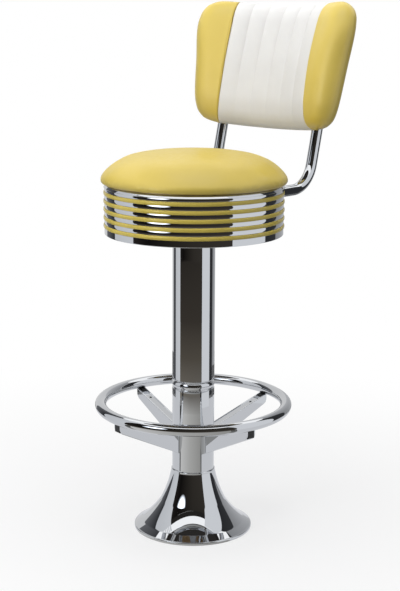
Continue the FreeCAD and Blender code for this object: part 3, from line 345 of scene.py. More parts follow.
@dataclass(frozen=True)
class ChromePlate(Finish):
    """Polished steel with bright chrome plate: mirror-sharp, slightly rippled, with a trace of haze."""

    ripple: float = 60 * MM
    depth: float = 0.02 * MM

    def pattern(self, tree: bpy.types.NodeTree, shader: bpy.types.Node, place: bpy.types.NodeSocket) -> None:
        """Polishing ripple in the surface and wiping marks in the gloss."""
        self.bump(tree, shader, self.noise(tree, place, self.ripple, 1.0), self.depth)
        haze = self.noise(tree, place, 18 * MM, 4.0)
        tree.links.new(self.spread(tree, haze, self.roughness * 0.6, self.roughness * 1.8),
                       shader.inputs["Roughness"])


@dataclass(frozen=True)
class Vinyl(Finish):
    """Upholstery vinyl over foam: satin, fine pressed grain, colour a little deeper in soft random blotches."""

    deep: str = "#000000"
    grain: float = 1.1 * MM

    def pattern(self, tree: bpy.types.NodeTree, shader: bpy.types.Node, place: bpy.types.NodeSocket) -> None:
        """Pressed grain, drawn coarser than life so that it shows, and a soft change of shade."""
        cells = add_node(tree, "ShaderNodeTexVoronoi", {"Scale": 1 / self.grain, "Randomness": 1.0},
                         {"Vector": place}).outputs["Distance"]
        soft = self.noise(tree, place, 45 * MM, 2.0)
        self.tint(tree, shader, self.spread(tree, soft, 0.0, 1.0), self.colour, self.deep)
        self.bump(tree, shader, cells, 0.05 * MM, 0.5)
        sheen = self.noise(tree, place, 9 * MM, 3.0)
        tree.links.new(self.spread(tree, sheen, self.roughness * 0.9, self.roughness * 1.12),
                       shader.inputs["Roughness"])


@dataclass(frozen=True)
class Moulded(Finish):
    """Moulded or extruded plastic: even colour, a fine ripple from the tool."""

    deep: str = "#000000"
    ripple: float = 4 * MM

    def pattern(self, tree: bpy.types.NodeTree, shader: bpy.types.Node, place: bpy.types.NodeSocket) -> None:
        """Slight ripple and a faint change of shade."""
        fine = self.noise(tree, place, self.ripple, 4.0)
        self.tint(tree, shader, self.spread(tree, fine, 0.0, 1.0), self.colour, self.deep)
        self.bump(tree, shader, fine, 0.03 * MM, 0.4)


@dataclass(frozen=True)
class Worked(Finish):
    """Machined or zinc-plated metal: soft grey gloss with short scratches round the axis."""

    deep: str = "#000000"

    def pattern(self, tree: bpy.types.NodeTree, shader: bpy.types.Node, place: bpy.types.NodeSocket) -> None:
        """Blotches in the plate and fine lines from the tool."""
        spots = self.noise(tree, place, 6 * MM, 5.0)
        self.tint(tree, shader, self.spread(tree, spots, 0.0, 1.0), self.colour, self.deep)
        lines = add_node(tree, "ShaderNodeTexNoise", {"Scale": 1 / (1.5 * MM), "Detail": 2.0}, {
            "Vector": add_node(tree, "ShaderNodeMapping", {"Scale": (1.0, 1.0, 0.1)},
                               {"Vector": place}).outputs["Vector"]}).outputs["Fac"]
        self.bump(tree, shader, lines, 0.02 * MM, 0.5)
        tree.links.new(self.spread(tree, spots, self.roughness * 0.8, self.roughness * 1.3),
                       shader.inputs["Roughness"])


@dataclass(frozen=True)
class Plywood(Finish):
    """Bare birch plywood: pale brown with long grain and thin dark veneer lines on its edge."""

    deep: str = "#000000"

    def pattern(self, tree: bpy.types.NodeTree, shader: bpy.types.Node, place: bpy.types.NodeSocket) -> None:
        """Grain stretched along X, thin in Z like the plies."""
        long = add_node(tree, "ShaderNodeMapping", {"Scale": (0.08, 1.0, 1.6)}, {"Vector": place})
        grain = self.noise(tree, long.outputs["Vector"], 3 * MM, 6.0)
        self.tint(tree, shader, self.spread(tree, grain, 0.0, 1.0), self.colour, self.deep)
        self.bump(tree, shader, grain, 0.08 * MM, 0.6)


@dataclass
class Palette:
    """One material for each finish of the stool."""

    chrome: bpy.types.Material
    steel: bpy.types.Material
    bronze: bpy.types.Material
    black: bpy.types.Material
    white_vinyl: bpy.types.Material
    yellow_vinyl: bpy.types.Material
    yellow_strip: bpy.types.Material
    plywood: bpy.types.Material

    @classmethod
    def mixed(cls) -> "Palette":
        """Mix every finish once."""
        return cls(
            chrome=ChromePlate("bright_chrome_plate", "#D2D4D7", 0.018, metallic=1.0).material(),
            steel=Worked("zinc_plated_steel", "#A9ABAD", 0.34, metallic=1.0, deep="#8C8E92").material(),
            bronze=Worked("sintered_bronze", "#A67C45", 0.42, metallic=1.0, deep="#86602F").material(),
            black=Moulded("moulded_black_polyethylene", "#141414", 0.48, deep="#1D1C1B").material(),
            white_vinyl=Vinyl("calendered_white_vinyl", "#DBDAD8", 0.42, specular=0.7, deep="#D8D7D5").material(),
            yellow_vinyl=Vinyl("calendered_yellow_vinyl", "#D4BB4E", 0.4, specular=1.0, deep="#D1B84A").material(),
            yellow_strip=Moulded("extruded_yellow_vinyl_strip", "#D8C25A", 0.24, deep="#D2BC52").material(),
            plywood=Plywood("birch_plywood", "#C9A876", 0.6, deep="#A98455").material(),
        )


# Base, column and footring

@dataclass
class PedestalBase:
    """Trumpet cover on the floor with the column's two sleeves and the collar between them."""

    palette: Palette
    wall: float = 1.6 * MM
    rim: float = 5.8 * MM
    neck_step: float = 1.75 * MM
    bell_bore: float = 32 * MM
    sleeve_wall: float = 3 * MM
    sleeve_round: float = 1.5 * MM
    sleeve_roll: float = 2.4 * MM
    spigot: float = 5 * MM
    collar_bore: float = 31 * MM
    collar_inset: float = 1.6 * MM
    groove_depth: float = 1.0 * MM

    def build(self) -> None:
        """Make the four turned pieces."""
        self.trumpet()
        self.lower_sleeve()
        self.collar()
        self.upper_sleeve()

    def trumpet(self) -> None:
        """Pressed cover that sweeps from a rolled rim up to the neck."""
        _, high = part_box("base_bell")
        radius, top = high.x, high.z
        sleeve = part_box("footring_hub")[1].x
        neck = sleeve + self.neck_step
        rim = self.rim
        toe = (radius - 16 * MM, rim + 9 * MM)
        waist = (neck + 22 * MM, top * 0.455)
        sweep_low = (neck + 39.6 * MM, top * 0.27)
        sweep_high = (neck + 8.0 * MM, top * 0.722)
        bore = self.bell_bore
        outer = Outline().to(radius - self.wall, 0.2 * MM).to(radius - 0.4 * MM, 0.2 * MM)
        outer.arc((radius - 0.1 * MM, 0.3 * MM), (radius, 0.6 * MM), 3)
        outer.to(radius, rim - 1.8 * MM)
        outer.arc((radius - 0.6 * MM, rim - 0.5 * MM), (radius - 2.2 * MM, rim), 6)
        outer.to(*toe)
        outer.arc(sweep_low, waist, 24)
        outer.arc(sweep_high, (neck, top - 3 * MM), 24)
        outer.arc((neck - 0.5 * MM, top - 0.8 * MM), (neck - 1.6 * MM, top), 5)
        outer.to(bore, top).to(bore, top - self.wall)
        outer.to(neck - self.wall - 2 * MM, top - self.wall)
        outer.arc((sweep_high[0] - self.wall, sweep_high[1]), (waist[0] - 1.4 * MM, waist[1] - 0.8 * MM), 16)
        outer.arc((sweep_low[0] - 1.2 * MM, sweep_low[1] - MM), (toe[0] - MM, toe[1] - 1.25 * MM), 16)
        outer.to(radius - self.wall, rim - self.wall)
        dress(lathe("trumpet_cover", outer, 256), self.palette.chrome, Body.BASE, "chrome", "base_bell")

    def lower_sleeve(self) -> None:
        """Sleeve that the arms are welded to."""
        low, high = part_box("footring_hub")
        outer, inner, soft = high.x, high.x - self.sleeve_wall, self.sleeve_round
        shape = Outline().to(inner, low.z).to(outer, low.z).to(outer, high.z - soft)
        shape.arc((outer - 0.44 * MM, high.z - 0.44 * MM), (outer - soft, high.z), 5).to(inner, high.z)
        dress(lathe("lower_sleeve", shape, 256), self.palette.chrome, Body.BASE, "chrome", "footring_hub")

    def collar(self) -> None:
        """Turned ring with one full bead and a fine groove above it."""
        low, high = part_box("joint_collar")
        bore, groove = self.collar_bore, self.groove_depth
        bottom, top = low.z + self.spigot, high.z - self.spigot
        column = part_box("upper_column")[1].x
        edge = column - self.collar_inset
        shape = Outline().to(bore, bottom).to(edge, bottom).to(edge, bottom + 1.2 * MM)
        shape.arc((column + 0.3 * MM, (bottom + top - 1.2 * MM) / 2), (edge, top - 2.4 * MM), 18)
        shape.to(edge - groove, top - 1.4 * MM).to(edge - groove, top).to(bore, top)
        dress(lathe("beaded_collar", shape, 256), self.palette.chrome, Body.BASE, "chrome", "joint_collar")

    def upper_sleeve(self) -> None:
        """Long sleeve with a rolled lower edge."""
        low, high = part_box("upper_column")
        outer, roll, inner = high.x, self.sleeve_roll, high.x - self.sleeve_wall
        shape = Outline().to(inner, low.z).to(outer - roll, low.z)
        shape.arc((outer - roll * 0.293, low.z + roll * 0.293), (outer, low.z + roll), 7)
        shape.to(outer, high.z).to(inner, high.z)
        dress(lathe("upper_sleeve", shape, 256), self.palette.chrome, Body.BASE, "chrome", "upper_column")


@dataclass
class FootRest:
    """Bent ring on four channel arms."""

    palette: Palette
    arms: int = 4
    turn: float = math.radians(-11)
    width: float = 20 * MM
    groove: float = 15 * MM
    lip: float = 1.4 * MM
    soft: float = 0.9 * MM
    plug: float = 12 * MM
    vent: float = 2.6 * MM
    vent_at: float = 149 * MM
    weld_depth: float = 1.5 * MM
    end_inset: float = 2.1 * MM
    end_round: float = 7 * MM
    top_drop: float = 58.9 * MM
    top_slope: float = 0.3400
    bottom_drop: float = 96.9 * MM
    bottom_slope: float = 0.4787

    def build(self) -> None:
        """Make the ring, the arms and their end plugs."""
        low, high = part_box("footring")
        self.tube = (high.z - low.z) / 2
        self.ring = high.x - self.tube
        self.level = low.z + self.tube
        path = [Vector((self.ring * math.cos(a), self.ring * math.sin(a), self.level))
                for a in (math.tau * step / 240 for step in range(240))]
        dress(sweep("foot_ring", path, self.tube, 48, closed=True), self.palette.chrome, Body.BASE,
              "chrome", "footring")
        self.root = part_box("footring_hub")[1].x - self.weld_depth
        self.end = self.ring - self.end_inset
        self.repeat(self.arm(), "channel_arms", self.palette.chrome, "chrome", "footring_arm_")
        self.repeat(self.cap(), "arm_end_plugs", self.palette.black, "black_plastic", "arm_cap_")

    def top(self, radius: float) -> float:
        """Height of the lips of an arm at a radius."""
        return self.level - self.top_drop + (radius - self.root) * self.top_slope

    def bottom(self, radius: float) -> float:
        """Height of the underside of an arm at a radius, rounded up at its end."""
        plain = self.level - self.bottom_drop + (radius - self.root) * self.bottom_slope
        corner = self.end_round
        past = max(0.0, radius - (self.end - corner))
        return plain + corner - math.sqrt(max(corner * corner - past * past, 0.0))

    def section(self, radius: float) -> list[Vector]:
        """Cross section of the channel at a radius, round the outside and down into the groove."""
        half, inner = self.width / 2, self.groove / 2
        top, bottom, soft, lip = self.top(radius), self.bottom(radius), self.soft, self.lip
        side = [(inner - 0.3 * MM, top - lip), (inner, top - lip + 0.3 * MM), (inner, top - 0.4 * MM),
                (inner + 0.4 * MM, top), (half - soft, top), (half - soft * 0.3, top - soft * 0.3),
                (half, top - soft), (half, top - soft - SUPPORT), (half, bottom + soft + SUPPORT),
                (half, bottom + soft), (half - soft * 0.3, bottom + soft * 0.3), (half - soft, bottom)]
        loop = side + [(-y, z) for y, z in reversed(side)]
        return [Vector((radius, y, z)) for y, z in loop]

    def arm(self) -> bpy.types.Object:
        """One arm along +X."""
        corner = self.end_round
        stations = [self.root, self.root + SUPPORT, self.end - corner - SUPPORT]
        stations += [self.end - corner + corner * math.sin(math.pi / 2 * k / 6) for k in range(7)]
        rings = [self.section(radius) for radius in stations]
        count = len(rings[0])
        verts = [point for ring in rings for point in ring]
        faces: list[tuple[int, ...]] = []
        for index in range(len(rings) - 1):
            for step in range(count):
                after = (step + 1) % count
                here, there = index * count, (index + 1) * count
                faces.append((here + step, here + after, there + after, there + step))
        faces.append(tuple(range(count)))
        faces.append(tuple(range((len(rings) - 1) * count, len(rings) * count)))
        piece = new_piece("arm_template", verts, faces, 28)
        self.drill(piece)
        return piece

    def drill(self, piece: bpy.types.Object) -> None:
        """Cut the plating vent into the bottom of the arm's channel."""
        radius, place, sides = self.vent, self.vent_at, 24
        verts = [(place + radius * math.cos(math.tau * k / sides), radius * math.sin(math.tau * k / sides),
                  self.top(place) + z) for z in (-9 * MM, 6 * MM) for k in range(sides)]
        faces: list[tuple[int, ...]] = [tuple(range(sides)), tuple(range(sides, 2 * sides))]
        faces += [(k, (k + 1) % sides, sides + (k + 1) % sides, sides + k) for k in range(sides)]
        drill = new_piece("vent_drill", verts, faces)
        cut = piece.modifiers.new("vent", "BOOLEAN")
        cut.operation = "DIFFERENCE"
        cut.solver = "EXACT"
        cut.object = drill
        settle(piece)
        bpy.data.objects.remove(drill)
        tidy_mesh(piece.data, 28)

    def cap(self) -> bpy.types.Object:
        """The plug in the end of the arm along +X, standing a little proud of the sheet."""
        half = self.width / 2 - 1.7 * MM
        start, end = self.end - self.plug, self.end + 0.8 * MM
        soft = 1.2 * MM
        verts, faces = [], []
        stations = [(start, 0.0), (end - soft, 0.0), (end, soft)]
        for radius, inset in stations:
            high = self.top(min(radius, self.end)) - 0.2 * MM - inset
            rise = max(0.0, radius - self.end + 6 * MM) * 0.4
            low = self.bottom(self.end - self.end_round) + 1.7 * MM + inset + rise
            wide = half - inset
            verts += [(radius, -wide, low), (radius, wide, low), (radius, wide, high), (radius, -wide, high)]
        for index in range(len(stations) - 1):
            for step in range(4):
                after = (step + 1) % 4
                faces.append((index * 4 + step, index * 4 + after, index * 4 + 4 + after, index * 4 + 4 + step))
        faces += [(0, 1, 2, 3), (8, 9, 10, 11)]
        return new_piece("plug_template", verts, faces, 25)

    def repeat(self, template: bpy.types.Object, name: str, material: bpy.types.Material, slot: str,
               nodes: str) -> None:
        """Copy a template round the column and let it stand for the numbered nodes."""
        RoundCopies(self.arms, self.turn).apply(template, material)
        template.name = name
        dress(template, material, Body.BASE, slot, *[nodes + str(k + 1) for k in range(self.arms)])


@dataclass
class RoundCopies:
    """Geometry Nodes that repeat a piece evenly about the Z axis."""

    count: int
    turn: float = 0.0

    def tree(self) -> bpy.types.NodeTree:
        """Build the tree, with the count and the first angle as named inputs."""
        tree = geometry_tree("round_copies", {"Piece": "Geometry", "Count": "Int", "First Angle": "Float",
                                              "Material": "Material"}, "Copies")
        given = add_node(tree, "NodeGroupInput").outputs
        step = add_node(tree, "ShaderNodeMath", {"operation": "DIVIDE", 0: math.tau}, {1: given["Count"]})
        index = add_node(tree, "GeometryNodeInputIndex").outputs[0]
        angle = add_node(tree, "ShaderNodeMath", {"operation": "MULTIPLY_ADD"},
                         {0: index, 1: step.outputs[0], 2: given["First Angle"]})
        spin = add_node(tree, "ShaderNodeCombineXYZ", links={"Z": angle.outputs[0]})
        points = add_node(tree, "GeometryNodeMeshLine", {"Offset": (0.0, 0.0, 0.0)}, {"Count": given["Count"]})
        copies = add_node(tree, "GeometryNodeInstanceOnPoints", links={
            "Points": points.outputs["Mesh"], "Instance": given["Piece"], "Rotation": spin.outputs[0]})
        real = add_node(tree, "GeometryNodeRealizeInstances", links={"Geometry": copies.outputs[0]})
        painted = add_node(tree, "GeometryNodeSetMaterial", links={
            "Geometry": real.outputs[0], "Material": given["Material"]})
        add_node(tree, "NodeGroupOutput", links={"Copies": painted.outputs[0]})
        return tree

    def apply(self, piece: bpy.types.Object, material: bpy.types.Material) -> None:
        """Run the tree on a piece and keep the result as its mesh."""
        run_tree(piece, self.tree(), {"Count": self.count, "First Angle": self.turn, "Material": material})


def geometry_tree(name: str, inputs: dict[str, str], output: str) -> bpy.types.NodeTree:
    """A new Geometry Nodes tree with named and typed inputs and one geometry output."""
    tree = bpy.data.node_groups.new(name, "GeometryNodeTree")
    for title, kind in inputs.items():
        tree.interface.new_socket(title, in_out="INPUT", socket_type="NodeSocket" + kind)
    tree.interface.new_socket(output, in_out="OUTPUT", socket_type="NodeSocketGeometry")
    return tree


def run_tree(piece: bpy.types.Object, tree: bpy.types.NodeTree, values: dict) -> None:
    """Run a Geometry Nodes tree on a piece with named input values, and keep the result as its mesh."""
    modifier = piece.modifiers.new(tree.name, "NODES")
    modifier.node_group = tree
    for item in tree.interface.items_tree:
        if item.in_out == "INPUT" and item.name in values:
            modifier[item.identifier] = values[item.name]
    settle(piece)


# Seat

@dataclass
class StripedBand:
    """Bright band with a rolled lip and slightly rounded lands, and the yellow beads in its grooves."""

    palette: Palette
    stripes: int = 5
    stand: float = 1.8 * MM
    land_bulge: float = 0.55 * MM
    slim: float = 0.83        # how much of a packed strip's height shows as a bead
    wall: float = 2.8 * MM
    groove: float = 1.6 * MM
    lip_out: float = 1.3 * MM
    lip_height: float = 6.2 * MM

    def build(self) -> None:
        """Make the band and the beads."""
        low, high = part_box("seat_band")
        self.bottom, self.top = low.z, high.z
        self.levels = []
        for index in range(1, self.stripes + 1):
            foot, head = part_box("band_stripe_%d" % index)
            self.levels.append((foot.z + head.z) / 2)
            self.height = (head.z - foot.z) * self.slim
        self.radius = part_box("band_stripe_1")[1].x - self.stand
        self.band()
        self.beads()

    def band(self) -> None:
        """Turned band: rounded lands between the beads, a plain foot and a lip rolled over on top."""
        radius, inner, floor = self.radius, self.radius - self.wall, self.radius - self.groove
        half = self.height / 2 + 0.05 * MM
        shape = Outline().to(inner, self.bottom).to(radius - 1.2 * MM, self.bottom)
        shape.arc((radius - 0.35 * MM, self.bottom + 0.35 * MM), (radius, self.bottom + 1.2 * MM), 4)
        edge = None
        for level in self.levels:
            start = level - half
            if edge is None:
                shape.to(radius, start)
            else:
                middle = (edge + start) / 2
                shape.arc((radius + self.land_bulge * 0.4, middle), (radius - self.land_bulge * 0.6, start), 8)
            shape.to(floor, start).to(floor, level + half)
            shape.to(radius - self.land_bulge * 0.6, level + half)
            edge = level + half
        lip, foot = radius + self.lip_out, self.top - self.lip_height
        shape.arc((radius + 0.3 * MM, (edge + foot) / 2), (radius - 0.2 * MM, foot), 6)
        shape.arc((lip - 0.2 * MM, foot + 0.1 * MM), (lip, foot + 0.7 * MM), 4)
        shape.arc((lip - 1.2 * MM, foot + 3.1 * MM), (lip - 2.6 * MM, foot + 5.4 * MM), 8)
        shape.arc((lip - 2.9 * MM, foot + 5.9 * MM), (lip - 3.4 * MM, self.top), 4)
        shape.to(inner, self.top)
        dress(lathe("chromed_band", shape, 320), self.palette.chrome, Body.SEAT, "chrome", "seat_band")

    def beads(self) -> None:
        """All beads as one mesh, each a half-round strip bent into a ring."""
        piece = new_piece("yellow_beads", [(0, 0, 0)], [])
        pitch = (self.levels[-1] - self.levels[0]) / (self.stripes - 1)
        run_tree(piece, self.tree(), {
            "Count": self.stripes, "Radius": self.radius, "Lowest": self.levels[0], "Pitch": pitch,
            "Height": self.height, "Stand": self.stand, "Material": self.palette.yellow_strip})
        tidy_mesh(piece.data, 50)
        names = ["band_stripe_%d" % k for k in range(1, self.stripes + 1)] + ["band_stripe_5_rear"]
        dress(piece, self.palette.yellow_strip, Body.SEAT, "yellow_strip", *names)

    def tree(self) -> bpy.types.NodeTree:
        """A half-round profile carried round a circle, and copied up the band at an even pitch."""
        tree = geometry_tree("bead_stack", {
            "Geometry": "Geometry", "Count": "Int", "Radius": "Float", "Lowest": "Float", "Pitch": "Float",
            "Height": "Float", "Stand": "Float", "Material": "Material"}, "Beads")
        given = add_node(tree, "NodeGroupInput").outputs
        half = add_node(tree, "ShaderNodeMath", {"operation": "MULTIPLY", 1: 0.5}, {0: given["Height"]})
        ratio = add_node(tree, "ShaderNodeMath", {"operation": "DIVIDE"},
                         {0: given["Stand"], 1: half.outputs[0]})
        circle = add_node(tree, "GeometryNodeCurvePrimitiveCircle", {"Resolution": 320},
                          {"Radius": given["Radius"]})
        arc = add_node(tree, "GeometryNodeCurveArc", {
            "Resolution": 15, "Start Angle": -math.pi / 2, "Sweep Angle": math.pi}, {"Radius": half.outputs[0]})
        flat = add_node(tree, "ShaderNodeCombineXYZ", {"Y": 1.0, "Z": 1.0}, {"X": ratio.outputs[0]})
        squeezed = add_node(tree, "GeometryNodeTransform", links={
            "Geometry": arc.outputs["Curve"], "Scale": flat.outputs[0]})
        whole = add_node(tree, "GeometryNodeSetSplineCyclic", {"Cyclic": True},
                         {"Geometry": squeezed.outputs[0]})
        bead = add_node(tree, "GeometryNodeCurveToMesh", links={
            "Curve": circle.outputs["Curve"], "Profile Curve": whole.outputs[0]})
        first = add_node(tree, "ShaderNodeCombineXYZ", links={"Z": given["Lowest"]})
        step = add_node(tree, "ShaderNodeCombineXYZ", links={"Z": given["Pitch"]})
        points = add_node(tree, "GeometryNodeMeshLine", links={
            "Count": given["Count"], "Start Location": first.outputs[0], "Offset": step.outputs[0]})
        copies = add_node(tree, "GeometryNodeInstanceOnPoints", links={
            "Points": points.outputs["Mesh"], "Instance": bead.outputs[0]})
        real = add_node(tree, "GeometryNodeRealizeInstances", links={"Geometry": copies.outputs[0]})
        painted = add_node(tree, "GeometryNodeSetMaterial", links={
            "Geometry": real.outputs[0], "Material": given["Material"]})
        add_node(tree, "NodeGroupOutput", links={"Beads": painted.outputs[0]})
        return tree


@dataclass
class SeatCushion:
    """Round foam cushion under tight vinyl: crown on top, full sides, drawn in to the band."""

    palette: Palette
    widen: float = 3.0 * MM
    shrink: float = 3.0 * MM
    rise: float = 5.0 * MM
    fullness: float = 2.67
    crown: float = 1.91
    foot_inset: float = 3.6 * MM
    tuck: float = 7.5 * MM

    def build(self) -> None:
        """Make a low form, let it swell, and smooth it; smoothing draws its side in, so the form starts wide."""
        low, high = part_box("seat_cushion")
        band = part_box("seat_band")[1].x
        wide, base, top = high.x + self.widen, low.z, high.z - self.shrink
        seat, side = band - self.foot_inset, base + self.tuck
        shape = Outline().to(0.0, base).to(seat, base)
        for step in range(1, 11):
            angle = math.pi / 2 * step / 10
            shape.to(seat + (wide - seat) * math.sin(angle), side - (side - base) * math.cos(angle))
        for step in range(1, 49):
            share = math.cos(math.pi / 2 * step / 48) ** 0.8
            shape.to(wide * share, side + (top - side) * (1 - share ** self.fullness) ** (1 / self.crown))
        piece = lathe("seat_pad", shape, 160, 60)
        plump(piece, self.rise, lambda place: place.z < base + 2.5 * MM)
        dress(piece, self.palette.yellow_vinyl, Body.SEAT, "yellow_vinyl", "seat_cushion")


def plump(piece: bpy.types.Object, cap: float, held: Callable[[Vector], bool], voxel: float = 5 * MM,
          pressure: float = 4.0, frames: int = 20) -> None:
    """Swell a closed form as pressed cloth, then add one subdivision.

    Args:
        piece: The form, a little smaller than the finished pad.
        cap: The furthest that a point may move.
        held: Tells whether the cloth is held at a place.
        voxel: Size of the even mesh that the cloth is made of.
        pressure: Push from inside.
        frames: How long the cloth moves.
    """
    remesh = piece.modifiers.new("even_mesh", "REMESH")
    remesh.mode = "VOXEL"
    remesh.voxel_size = voxel
    remesh.use_smooth_shade = True
    settle(piece)
    start = [v.co.copy() for v in piece.data.vertices]
    pins = piece.vertex_groups.new(name="held")
    pins.add([v.index for v in piece.data.vertices if held(v.co)], 1.0, "REPLACE")
    cloth = piece.modifiers.new("vinyl_cloth", "CLOTH")
    cloth.settings.use_pressure = True
    cloth.settings.uniform_pressure_force = pressure
    cloth.settings.effector_weights.gravity = 0.0
    cloth.settings.vertex_group_mass = pins.name
    cloth.point_cache.frame_end = frames
    for frame in range(1, frames + 1):
        bpy.context.scene.frame_set(frame)
    graph = bpy.context.evaluated_depsgraph_get()
    moved = [v.co.copy() for v in piece.evaluated_get(graph).data.vertices]
    piece.modifiers.clear()
    bpy.context.scene.frame_set(1)
    steps = [(new - old) * min(1.0, cap / max((new - old).length, 1e-9)) for old, new in zip(start, moved)]
    for vertex, old, step in zip(piece.data.vertices, start, evened(piece.data, steps)):
        vertex.co = old + step
    piece.vertex_groups.clear()
    relax = piece.modifiers.new("relax", "SMOOTH")
    relax.factor = 0.5
    relax.iterations = 10
    finer = piece.modifiers.new("finer", "SUBSURF")
    finer.levels = finer.render_levels = 1
    settle(piece)
    piece.data.shade_smooth()


def evened(mesh: bpy.types.Mesh, steps: list[Vector], rounds: int = 30) -> list[Vector]:
    """Even out how far neighbouring points of a mesh move, so that the skin stays free of small dents."""
    near: list[list[int]] = [[] for _ in steps]
    for edge in mesh.edges:
        first, second = edge.vertices
        near[first].append(second)
        near[second].append(first)
    for _ in range(rounds):
        steps = [(step + sum((steps[k] for k in around), Vector()) / max(len(around), 1)) / 2
                 for step, around in zip(steps, near)]
    return steps


# Back

@dataclass
class BackFrame:
    """Two bent tubes from under the seat up into the back."""

    palette: Palette
    lean: float = BACK_LEAN
    bend: float = 60 * MM
    tube: float = BACK_TUBE

    def build(self) -> None:
        """Make both tubes."""
        for name in ("back_tube_left", "back_tube_right"):
            low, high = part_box(name)
            across = (low.x + high.x) / 2
            dress(sweep("bent_" + name, self.route(across, low, high), self.tube, 56),
                  self.palette.chrome, Body.SEAT, "chrome", name)

    def route(self, across: float, low: Vector, high: Vector) -> list[Vector]:
        """Centre line of a tube: level, one bend, then straight up the lean."""
        level = low.z + self.tube
        top_y = high.y - self.tube * math.cos(self.lean)
        top_z = high.z - self.tube * math.sin(self.lean)
        corner = top_y - (top_z - level) * math.tan(self.lean)
        turn = math.pi / 2 - self.lean
        start = corner - self.bend * math.tan(turn / 2)
        up_lean = Vector((0.0, math.sin(self.lean), math.cos(self.lean)))
        top = Vector((across, top_y, top_z))
        path = [Vector((across, y, level)) for y in (low.y, low.y + MM, start - 2 * MM)]
        for step in range(33):
            angle = turn * step / 32
            path.append(Vector((across, start + self.bend * math.sin(angle),
                                level + self.bend * (1 - math.cos(angle)))))
        return path + [path[-1] + up_lean * 2 * MM, top - up_lean * MM, top]


